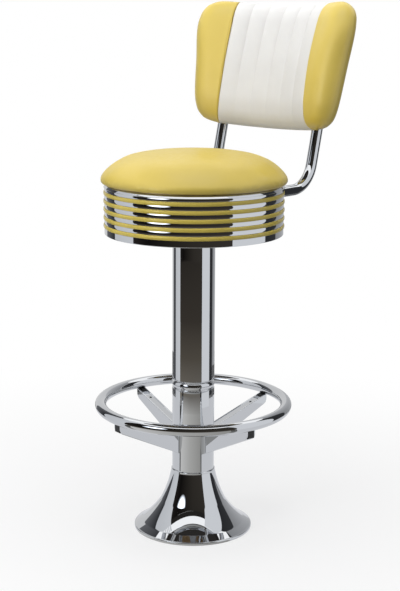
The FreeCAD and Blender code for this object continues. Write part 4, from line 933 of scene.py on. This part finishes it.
@dataclass
class BackRest:
    """Curved pad: white fluted centre, yellow wings and a yellow rear, on circles about an upright axis.

    A point is given by an angle about that axis, a level up the lean and a radius.
    """

    palette: Palette
    lean: float = BACK_LEAN
    curve: float = 320 * MM
    split: float = 340.7 * MM
    height: float = 256 * MM
    seam: float = math.radians(21.06)
    flutes: int = 6
    roll: float = 56 * MM
    roll_power: float = 3.2
    rise: float = 113.2 * MM
    before: float = 9.52 * MM
    seam_round: float = 2.2 * MM
    rear_depth: float = 26.6 * MM
    rear_roll: float = 42 * MM
    thinnest: float = 0.2 * MM
    rows: int = 90

    def build(self) -> None:
        """Make the four sewn pieces."""
        self.place = self.local_frame()
        self.centre()
        for name, side in (("back_wing_left", 1), ("back_wing_right", -1)):
            self.wing(name, side)
        self.rear()

    def local_frame(self) -> Matrix:
        """The leaning frame that the pad is drawn in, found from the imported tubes."""
        low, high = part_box("back_tube_left")
        level = low.z + BACK_TUBE
        top_y = high.y - BACK_TUBE * math.cos(self.lean)
        top_z = high.z - BACK_TUBE * math.sin(self.lean)
        along = top_y - (top_z - level - self.rise) * math.tan(self.lean)
        origin = Vector((0.0, along - self.before / math.cos(self.lean), level + self.rise))
        return Matrix.Translation(origin) @ Matrix.Rotation(-self.lean, 4, "X")

    def point(self, angle: float, level: float, radius: float) -> Vector:
        """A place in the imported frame."""
        return self.place @ Vector((radius * math.sin(angle), radius * math.cos(angle) - self.curve, level))

    @staticmethod
    def follow(line: Sequence[Point], at: float) -> float:
        """A smooth value between given points of (level, value)."""
        xs = [x for x, _ in line]
        ys = [y for _, y in line]
        if at <= xs[0]:
            return ys[0]
        if at >= xs[-1]:
            return ys[-1]
        index = max(i for i, x in enumerate(xs) if x <= at)
        slopes = []
        for i in range(len(xs)):
            if i in (0, len(xs) - 1):
                near = 0 if i == 0 else i - 1
                slopes.append((ys[near + 1] - ys[near]) / (xs[near + 1] - xs[near]))
                continue
            before = (ys[i] - ys[i - 1]) / (xs[i] - xs[i - 1])
            after = (ys[i + 1] - ys[i]) / (xs[i + 1] - xs[i])
            slopes.append(0.0 if before * after <= 0 else 2 * before * after / (before + after))
        width = xs[index + 1] - xs[index]
        t = (at - xs[index]) / width
        return (ys[index] * (1 + 2 * t) * (1 - t) ** 2 + slopes[index] * width * t * (1 - t) ** 2
                + ys[index + 1] * t * t * (3 - 2 * t) + slopes[index + 1] * width * t * t * (t - 1))

    def half_width(self, level: float) -> float:
        """Half the pad's width at a level, as measured along its outline."""
        line = ((0, 127), (3, 145), (8, 158), (25, 172), (53, 180), (127, 188), (196, 195), (220, 192),
                (238, 184), (249, 171), (254, 158), (256, 140))
        return self.follow([(a * MM, b * MM) for a, b in line], level)

    def front_depth(self, level: float) -> float:
        """How far the front stands before the parting surface in the middle of the pad."""
        line = ((0, 1), (1.5, 9), (6, 17), (14, 24), (28, 30), (58, 36), (127, 39), (215, 33), (236, 27),
                (247, 19), (253, 11), (255.5, 4), (256, 1))
        return self.follow([(a * MM, b * MM) for a, b in line], level)

    def levels(self, count: int) -> list[float]:
        """Levels from bottom to top, closer together at both ends."""
        return [self.height * (1 - math.cos(math.pi * k / count)) / 2 for k in range(count + 1)]

    def rolled(self, reach: float, roll: float) -> float:
        """Share of the full depth at a distance from the edge: round at the edge, flat further in."""
        return math.sqrt(max(0.0, 1 - (1 - min(max(reach, 0.0) / roll, 1.0)) ** self.roll_power))

    def edge_angle(self, level: float) -> float:
        """Angle of the outer edge at a level."""
        return math.asin(self.half_width(level) / self.split)

    def shell(self, name: str, front: list[list[Vector]], back: list[list[Vector]]) -> bpy.types.Object:
        """Close two equal grids of points, front and back, into one form."""
        rows, columns = len(front), len(front[0])
        verts = [p for row in front for p in row] + [p for row in back for p in row]
        shift = rows * columns
        faces = []
        for i in range(rows - 1):
            for j in range(columns - 1):
                a = i * columns + j
                faces.append((a, a + 1, a + columns + 1, a + columns))
                faces.append((shift + a, shift + a + columns, shift + a + columns + 1, shift + a + 1))
        border = [(0, j) for j in range(columns)] + [(i, columns - 1) for i in range(1, rows)]
        border += [(rows - 1, j) for j in range(columns - 2, -1, -1)] + [(i, 0) for i in range(rows - 2, 0, -1)]
        for here, there in zip(border, border[1:] + border[:1]):
            a, b = here[0] * columns + here[1], there[0] * columns + there[1]
            faces.append((a, b, shift + b, shift + a))
        return new_piece(name, verts, faces, 50)

    def seam_fall(self, reach: float) -> float:
        """How much the front falls near a seam, by the distance from it."""
        share = min(reach / self.seam_round, 1.0)
        return self.seam_round * (1 - math.sqrt(max(0.0, 1 - (1 - share) ** 2)))

    def sew(self, name: str, row: Callable[[float], list[tuple[Vector, Vector]]], material: bpy.types.Material,
            slot: str, node: str) -> None:
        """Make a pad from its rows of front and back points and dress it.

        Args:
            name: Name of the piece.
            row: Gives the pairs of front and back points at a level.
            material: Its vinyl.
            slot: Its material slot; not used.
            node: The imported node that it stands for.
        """
        rows = [row(level) for level in self.levels(self.rows)]
        piece = self.shell(name, [[pair[0] for pair in line] for line in rows],
                           [[pair[1] for pair in line] for line in rows])
        dress(piece, material, Body.SEAT, slot, node)

    def centre(self) -> None:
        """White middle: shallow upright flutes that fade towards the bottom and roll over the top."""
        columns = 20 * self.flutes
        deepening = ((0.0, 0.5), (0.2, 1.6), (0.5, 3.6), (0.85, 5.4), (0.95, 5.2), (1.0, 2.5))

        def row(level: float) -> list[tuple[Vector, Vector]]:
            """Points across the middle at a level."""
            depth, strength = self.front_depth(level), self.follow(deepening, level / self.height)
            pairs = []
            for k in range(columns + 1):
                share = k / columns
                angle = self.seam * (2 * share - 1)
                wave = abs(math.sin(math.pi * self.flutes * share))
                dip = strength * MM * (1 - wave ** 0.65)
                fall = self.seam_fall(min(share, 1 - share) * 2 * self.seam * self.curve)
                front = self.split - max(depth - dip - fall, self.thinnest)
                pairs.append((self.point(angle, level, front), self.point(angle, level, self.split)))
            return pairs

        self.sew("fluted_centre", row, self.palette.white_vinyl, "white_vinyl", "back_centre_pad")

    def wing(self, node: str, side: int) -> None:
        """Yellow side that rolls over to the pad's outer edge."""
        columns = 40

        def row(level: float) -> list[tuple[Vector, Vector]]:
            """Points from the seam to the outer edge at a level."""
            outer, full = self.edge_angle(level), self.front_depth(level)
            pairs = []
            for k in range(columns + 1):
                angle = self.seam + (outer - self.seam) * math.sin(math.pi / 2 * k / columns)
                round_off = self.rolled((outer - angle) * self.split, self.roll)
                fall = self.seam_fall((angle - self.seam) * self.curve)
                front = self.split - max(full * round_off - fall, self.thinnest)
                pairs.append((self.point(side * angle, level, front), self.point(side * angle, level, self.split)))
            return pairs

        self.sew(node.replace("back_wing", "yellow_wing"), row, self.palette.yellow_vinyl, "yellow_vinyl", node)

    def rear(self) -> None:
        """Yellow rear that rounds off to the same outline."""
        columns, least, parting = 80, 2 * self.thinnest, self.split + 0.1 * MM

        def row(level: float) -> list[tuple[Vector, Vector]]:
            """Points across the rear at a level."""
            outer = self.edge_angle(level)
            full = least + self.rear_depth * self.rolled(min(level, self.height - level), self.rear_roll)
            pairs = []
            for k in range(columns + 1):
                angle = outer * math.sin(math.pi / 2 * (2 * k / columns - 1))
                depth = max(full * self.rolled((outer - abs(angle)) * self.split, self.roll), least)
                pairs.append((self.point(angle, level, parting), self.point(angle, level, parting + depth)))
            return pairs

        self.sew("yellow_rear", row, self.palette.yellow_vinyl, "yellow_vinyl", "back_rear_pad")


@dataclass
class HiddenWorks:
    """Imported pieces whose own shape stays: plates, bearings, boards, straps, screws and plugs."""

    palette: Palette

    def build(self, nodes: dict[str, bpy.types.Object]) -> None:
        """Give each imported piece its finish."""
        groups = (
            (self.palette.steel, ("floor_plate", "inner_post", "swivel_socket", "lower_race", "bearing_balls",
                                  "upper_race", "swivel_spindle", "spindle_washer", "spindle_nut", "seat_plate",
                                  "plate_screws", "band_screws", "band_ring", "tube_straps", "strap_screws",
                                  "back_screws")),
            (self.palette.bronze, ("lower_bush", "upper_bush")),
            (self.palette.black, ("bearing_cage", "tube_plugs")),
            (self.palette.plywood, ("seat_board", "back_board")),
        )
        for material, names in groups:
            for name in names:
                if name not in nodes:
                    continue
                nodes[name].data.materials.clear()
                nodes[name].data.materials.append(material)
            LOG.info("%s on %s", material.name, ", ".join(names))


# Studio

@dataclass
class Flat:
    """A board in the studio that only the chrome sees, standing on the floor between two bearings; its glow is
    painted light, standing in for a lit or dim surface around the stool.

    Bearings are degrees from the camera, positive to the right of the picture.
    """

    name: str
    start: float
    end: float
    distance: float
    low: float
    high: float
    colours: tuple[str, ...]
    glow: float = 1.0

    def build(self, towards: float) -> None:
        """Stand the board up."""
        pairs = [((self.distance * math.cos(turn), self.distance * math.sin(turn), self.low),
                  (self.distance * math.cos(turn), self.distance * math.sin(turn), self.high))
                 for turn in bearings(towards, self.start, self.end, 4)]
        glowing_strip(self.name, pairs, self.colours, self.glow)


@dataclass
class Slab:
    """A level board that only the chrome sees, between two bearings and two distances; its glow paints the light
    and shade of the floor or ceiling that the chrome reflects.
    """

    name: str
    start: float
    end: float
    near: float
    far: float
    level: float
    colours: tuple[str, ...]
    overlap: float = 10 * MM

    def build(self, towards: float) -> None:
        """Lay the board down."""
        reaches = (self.near - self.overlap, self.far + self.overlap)
        pairs = [tuple((reach * math.cos(turn), reach * math.sin(turn), self.level) for reach in reaches)
                 for turn in bearings(towards, self.start, self.end, 6)]
        glowing_strip(self.name, pairs, self.colours, 1.0)


def bearings(towards: float, start: float, end: float, every: float) -> list[float]:
    """Directions from one bearing to another in steps of about so many degrees."""
    steps = max(2, int(abs(end - start) / every))
    return [towards + math.radians(start + (end - start) * k / steps) for k in range(steps + 1)]


def glowing_strip(name: str, pairs: Sequence[Sequence[Sequence[float]]], colours: Sequence[str],
                  strength: float) -> None:
    """Make a board from pairs of points and let it glow."""
    faces = [(2 * k, 2 * k + 2, 2 * k + 3, 2 * k + 1) for k in range(len(pairs) - 1)]
    board = new_piece(name, [point for pair in pairs for point in pair], faces)
    finish_glow(board, colours, strength)
    only_reflected(board)


@dataclass
class Window:
    """A soft oval of bluish light that only the chrome sees, bright in the middle and gone at its rim."""

    name: str
    bearing: float
    distance: float
    height: float
    half_width: float
    half_height: float
    colour: str
    glow: float

    def build(self, towards: float) -> None:
        """Hang the window up, facing the stool."""
        bearing, sides = towards + math.radians(self.bearing), 48
        out = Vector((math.cos(bearing), math.sin(bearing), 0.0))
        side, up = Vector((-out.y, out.x, 0.0)), Vector((0.0, 0.0, 1.0))
        middle = out * self.distance + up * self.height
        rings = ((0.35, 0.97), (0.6, 0.75), (0.8, 0.35), (1.0, 0.0))
        verts, fades = [middle], [1.0]
        for reach, fade in rings:
            for k in range(sides):
                angle = math.tau * k / sides
                verts.append(middle + reach * (side * self.half_width * math.cos(angle)
                                               + up * self.half_height * math.sin(angle)))
                fades.append(fade)
        faces: list[tuple[int, ...]] = [(0, 1 + k, 1 + (k + 1) % sides) for k in range(sides)]
        for ring in range(len(rings) - 1):
            here, there = 1 + ring * sides, 1 + (ring + 1) * sides
            faces += [(here + k, there + k, there + (k + 1) % sides, here + (k + 1) % sides) for k in range(sides)]
        board = new_piece(self.name, verts, faces)
        store = board.data.attributes.new("fade", "FLOAT", "POINT")
        for item, fade in zip(store.data, fades):
            item.value = fade
        material, tree = blank_material(self.name + "_glow")
        fade_in = add_node(tree, "ShaderNodeAttribute", {"attribute_name": "fade"}).outputs["Fac"]
        clear = add_node(tree, "ShaderNodeBsdfTransparent").outputs[0]
        glow = even_glow(tree, self.colour, self.glow)
        mix = add_node(tree, "ShaderNodeMixShader", links={0: fade_in, 1: clear, 2: glow})
        add_node(tree, "ShaderNodeOutputMaterial", links={"Surface": mix.outputs[0]})
        board.data.materials.append(material)
        only_reflected(board)


def finish_glow(board: bpy.types.Object, colours: Sequence[str], strength: float) -> None:
    """Give a studio board a glow of one colour, or one blended between its four corners.

    Args:
        board: The board, whose vertices run from start to end in pairs of inner and outer.
        colours: One colour, or those of start inner, start outer, end inner and end outer.
        strength: How strongly it glows.
    """
    corners = [Vector(linear(colour)) for colour in (tuple(colours) * 4)[:4]]
    pairs = len(board.data.vertices) // 2 - 1
    shade = board.data.color_attributes.new("shade", "FLOAT_COLOR", "POINT")
    for index, item in enumerate(shade.data):
        outer, along = index % 2, index // 2 / pairs
        item.color = corners[outer].lerp(corners[2 + outer], along)
    material, tree = blank_material(board.name + "_glow")
    colour = add_node(tree, "ShaderNodeAttribute", {"attribute_name": "shade"}).outputs["Color"]
    glow = add_node(tree, "ShaderNodeEmission", {"Strength": strength}, {"Color": colour})
    add_node(tree, "ShaderNodeOutputMaterial", links={"Surface": glow.outputs[0]})
    board.data.materials.append(material)


def only_reflected(board: bpy.types.Object) -> None:
    """Keep a studio board out of the picture and out of the soft light."""
    board.visible_camera = False
    board.visible_diffuse = False
    board.visible_shadow = False
    board.visible_transmission = False


@dataclass
class Studio:
    """Pale floor, white surround, soft lamps, and the boards that the chrome reflects."""

    towards: float
    floor_reach: float = 1.45

    def build(self) -> None:
        """Set up the studio."""
        self.colours()
        self.world()
        self.floor()
        self.lamps()
        self.boards()

    @staticmethod
    def colours() -> None:
        """Plain colour handling."""
        bpy.context.scene.view_settings.view_transform = "Standard"

    def world(self) -> None:
        """White to the eye, a little softer in reflections, and softer still as light."""
        world = bpy.data.worlds.new("white_surround")
        bpy.context.scene.world = world
        world.use_nodes = True
        tree = world.node_tree
        tree.nodes.clear()
        light = add_node(tree, "ShaderNodeBackground", {"Color": linear("#F4F6FA"), "Strength": 0.36})
        ray = add_node(tree, "ShaderNodeLightPath").outputs
        softer = add_node(tree, "ShaderNodeMath", {"operation": "MULTIPLY_ADD", 1: 0.25, 2: 0.75},
                          {0: ray["Is Camera Ray"]})
        seen = add_node(tree, "ShaderNodeBackground", {"Color": linear("#FFFFFF")},
                        {"Strength": softer.outputs[0]})
        either = add_node(tree, "ShaderNodeMath", {"operation": "MAXIMUM"},
                          {0: ray["Is Camera Ray"], 1: ray["Is Glossy Ray"]})
        every = add_node(tree, "ShaderNodeMath", {"operation": "MAXIMUM"},
                         {0: either.outputs[0], 1: ray["Is Transmission Ray"]})
        mix = add_node(tree, "ShaderNodeMixShader", links={
            0: every.outputs[0], 1: light.outputs[0], 2: seen.outputs[0]})
        add_node(tree, "ShaderNodeOutputWorld", links={"Surface": mix.outputs[0]})

    def floor(self) -> None:
        """A round pale floor that fades into the surround and throws little light back up."""
        ring, reach = 64, self.floor_reach
        level = -0.2 * MM
        verts = [(0.0, 0.0, level)]
        verts += [(reach * math.cos(math.tau * k / ring), reach * math.sin(math.tau * k / ring), level)
                  for k in range(ring)]
        faces = [(0, k + 1, (k + 1) % ring + 1) for k in range(ring)]
        floor = new_piece("studio_floor", verts, faces)
        material, tree = blank_material("white_studio_floor")
        place = add_node(tree, "ShaderNodeTexCoord").outputs["Object"]
        away = add_node(tree, "ShaderNodeVectorMath", {"operation": "LENGTH"}, {0: place}).outputs["Value"]
        fade = add_node(tree, "ShaderNodeMapRange", {
            "interpolation_type": "SMOOTHSTEP", "From Min": 0.1, "From Max": reach * 0.9, "To Min": 0.72,
            "To Max": 1.0}, {"Value": away}).outputs["Result"]
        matt = add_node(tree, "ShaderNodeBsdfDiffuse", {"Color": linear("#F4F4F4")})
        white = even_glow(tree, "#FFFFFF")
        seen = add_node(tree, "ShaderNodeMixShader", links={0: fade, 1: matt.outputs[0], 2: white})
        grey = add_node(tree, "ShaderNodeBsdfDiffuse", {"Color": linear("#8E8E8E")})
        direct = add_node(tree, "ShaderNodeLightPath").outputs["Is Camera Ray"]
        mix = add_node(tree, "ShaderNodeMixShader", links={0: direct, 1: grey.outputs[0], 2: seen.outputs[0]})
        add_node(tree, "ShaderNodeOutputMaterial", links={"Surface": mix.outputs[0]})
        floor.data.materials.append(material)

    def lamps(self) -> None:
        """Soft boxes overhead, to the right, and before the seat on the left."""
        for name, bearing, distance, height, size, power in (
                ("overhead_box", -25, 0.15, 2.2, 1.4, 23.0),
                ("right_box", 72, 1.3, 0.9, 1.1, 1.0),
                ("front_box", -54, 2.2, 1.05, 0.8, 19.0)):
            self.lamp(name, bearing, distance, height, size, power)

    def lamp(self, name: str, bearing: float, distance: float, height: float, size: float,
             power: float) -> None:
        """A square soft box that looks at the seat."""
        angle = self.towards + math.radians(bearing)
        data = bpy.data.lights.new(name, "AREA")
        data.shape = "SQUARE"
        data.size = size
        data.energy = power
        lamp = bpy.data.objects.new(name, data)
        lamp.location = (distance * math.cos(angle), distance * math.sin(angle), height)
        aim = Vector((0.0, 0.0, 0.7)) - lamp.location
        lamp.rotation_euler = aim.to_track_quat("-Z", "Y").to_euler()
        lamp.visible_camera = False
        lamp.visible_glossy = False
        bpy.context.scene.collection.objects.link(lamp)

    def boards(self) -> None:
        """What the chrome sees, as glowing boards: a dark room before the stool, white boards beside it whose glow
        is painted light, and a pale floor with painted light and painted shadow on it.
        """
        boards = (
            Flat("dark_room_left", -112, -58, 3.0, 0.0, 3.2, ("#3C3835", "#2A2725", "#151312", "#151312")),
            Flat("dark_room_middle", -58, 0, 3.02, 0.0, 3.2, ("#151312", "#151312", "#37332E", "#302D29")),
            Flat("dark_room_right", 0, 60, 3.0, 0.0, 3.2, ("#37332E", "#302D29", "#3F3B36", "#37332E")),
            # The white boards and the top box glow as painted light, in place of lit flats and an overhead soft
            # box; colours that change along a board paint how light falls on it.
            Flat("white_board_left", -111.5, -76, 0.95, 0.0, 1.6, ("#DADCDF", "#DADCDF", "#E6E8EB", "#E6E8EB")),
            Flat("white_board_right", 45, 94, 0.9, 0.0, 1.6, ("#EEF0F3",)),
            Flat("dark_gap_left", -138, -111, 1.0, 0.0, 1.6, ("#707174", "#707174", "#303134", "#303134")),
            Flat("dark_gap_right", 94, 119, 1.0, 0.0, 1.6, ("#303133", "#303133", "#3C3D3F", "#3C3D3F")),
            Flat("grey_board_right", 119, 165, 1.3, 0.0, 1.6, ("#98999B", "#98999B", "#C6C7C9", "#C6C7C9")),
            Flat("top_box", -180, 180, 0.95, 1.22, 1.9, ("#FFFFFF",), 1.3),
            Window("small_window", -44, 1.9, 1.09, 0.55, 0.42, "#F0F6FF", 4.0),
        )
        for board in boards:
            board.build(self.towards)
        slabs = (
            # Painted light and shade of the floor as the chrome reflects it: lighter to the left, darker to the
            # right and further out (the falloff slabs), with painted shadow strips (the shade slabs) beside the
            # stool; the room floor slabs darken further out.
            Slab("floor_before_left", -69, -20, 0.11, 0.84, 0.5 * MM, ("#E0DFDD", "#DEDDDA", "#C2C1BD", "#C2C1BD")),
            Slab("floor_before_right", -20, 39, 0.11, 0.84, 0.5 * MM, ("#C2C1BD", "#C2C1BD", "#A8A7A3", "#A8A7A3")),
            Slab("floor_painted_falloff_left", -66, -20, 0.84, 1.0, 0.45 * MM, ("#DEDDDA", "#8A8883", "#C2C1BD", "#77736D")),
            Slab("floor_painted_falloff_right", -20, 39, 0.84, 1.0, 0.45 * MM, ("#C2C1BD", "#77736D", "#A8A7A3", "#77736D")),
            Slab("floor_shade_left", -77, -69, 0.3, 0.9, 0.55 * MM, ("#8A8A88", "#2C2C2C", "#8A8A88", "#2C2C2C")),
            Slab("floor_shade_right", 39, 46, 0.3, 0.95, 0.55 * MM, ("#8A8A88", "#2C2C2C", "#8A8A88", "#2C2C2C")),
            Slab("floor_left", -180, -77, 0.11, 0.96, 0.48 * MM, ("#E2E3E6",)),
            Slab("floor_left_near", -77, -69, 0.11, 0.3, 0.5 * MM, ("#E2E3E6",)),
            Slab("floor_right_near", 39, 46, 0.11, 0.3, 0.5 * MM, ("#E2E3E6",)),
            Slab("floor_right", 46, 180, 0.11, 0.96, 0.48 * MM, ("#E2E3E6",)),
            Slab("room_floor_near", -76, 45, 1.0, 1.4, 0.4 * MM, ("#807A70", "#5B554C", "#77736D", "#5B554C")),
            Slab("room_floor", -76, 45, 1.4, 1.9, 0.35 * MM, ("#5B554C", "#403B35", "#5B554C", "#403B35")),
            Slab("room_floor_far", -112, 62, 1.9, 3.1, 0.3 * MM, ("#403B35", "#2E2A26", "#403B35", "#37332E")),
            Slab("ceiling_front", -118, 118, 1.4, 3.0, 3.2, ("#2A2826",)),
            Slab("ceiling_middle", -180, 180, 0.01, 1.4, 3.2, ("#33312F",)),
        )
        for slab in slabs:
            slab.build(self.towards)


@dataclass
class Viewpoint:
    """The photograph's camera, found from the rings of the footring, the band and the base."""

    swivel: float = math.radians(42.0)
    distance: float = 2.660
    height: float = 1.0455
    pitch: float = 0.2096
    yaw: float = 0.0047
    roll: float = 0.005
    focal_pixels: float = 1370.9
    frame_height: float = 591.0

    @property
    def towards(self) -> float:
        """Direction from the column to the camera, from +X."""
        return self.swivel - math.pi / 2

    def build(self) -> None:
        """Put the camera in the scene."""
        data = bpy.data.cameras.new("photo_camera")
        data.sensor_fit = "VERTICAL"
        data.sensor_height = 36.0
        data.lens = self.focal_pixels * data.sensor_height / self.frame_height
        data.clip_end = 50.0
        camera = bpy.data.objects.new("photo_camera", data)
        cos_pitch = math.cos(self.pitch)
        ahead = Vector((math.sin(self.yaw) * cos_pitch, math.cos(self.yaw) * cos_pitch, -math.sin(self.pitch)))
        right = Vector((math.cos(self.yaw), -math.sin(self.yaw), 0.0))
        up = right.cross(ahead)
        right, up = (right * math.cos(self.roll) + up * math.sin(self.roll),
                     up * math.cos(self.roll) - right * math.sin(self.roll))
        axes = Matrix((right, up, -ahead)).transposed().to_4x4()
        place = Matrix.Translation((0.0, -self.distance, self.height)) @ axes
        camera.matrix_world = Matrix.Rotation(self.swivel, 4, "Z") @ place
        bpy.context.scene.collection.objects.link(camera)
        bpy.context.scene.camera = camera


def main() -> None:
    """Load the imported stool, dress it and set up the studio."""
    logging.basicConfig(level=logging.INFO, format="%(message)s")
    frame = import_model()
    view = Viewpoint()
    view.build()
    palette = Palette.mixed()
    PedestalBase(palette).build()
    FootRest(palette).build()
    StripedBand(palette).build()
    SeatCushion(palette).build()
    BackFrame(palette).build()
    BackRest(palette).build()
    HiddenWorks(palette).build(frame["nodes"])
    Studio(view.towards).build()


if __name__ == "__main__":
    main()
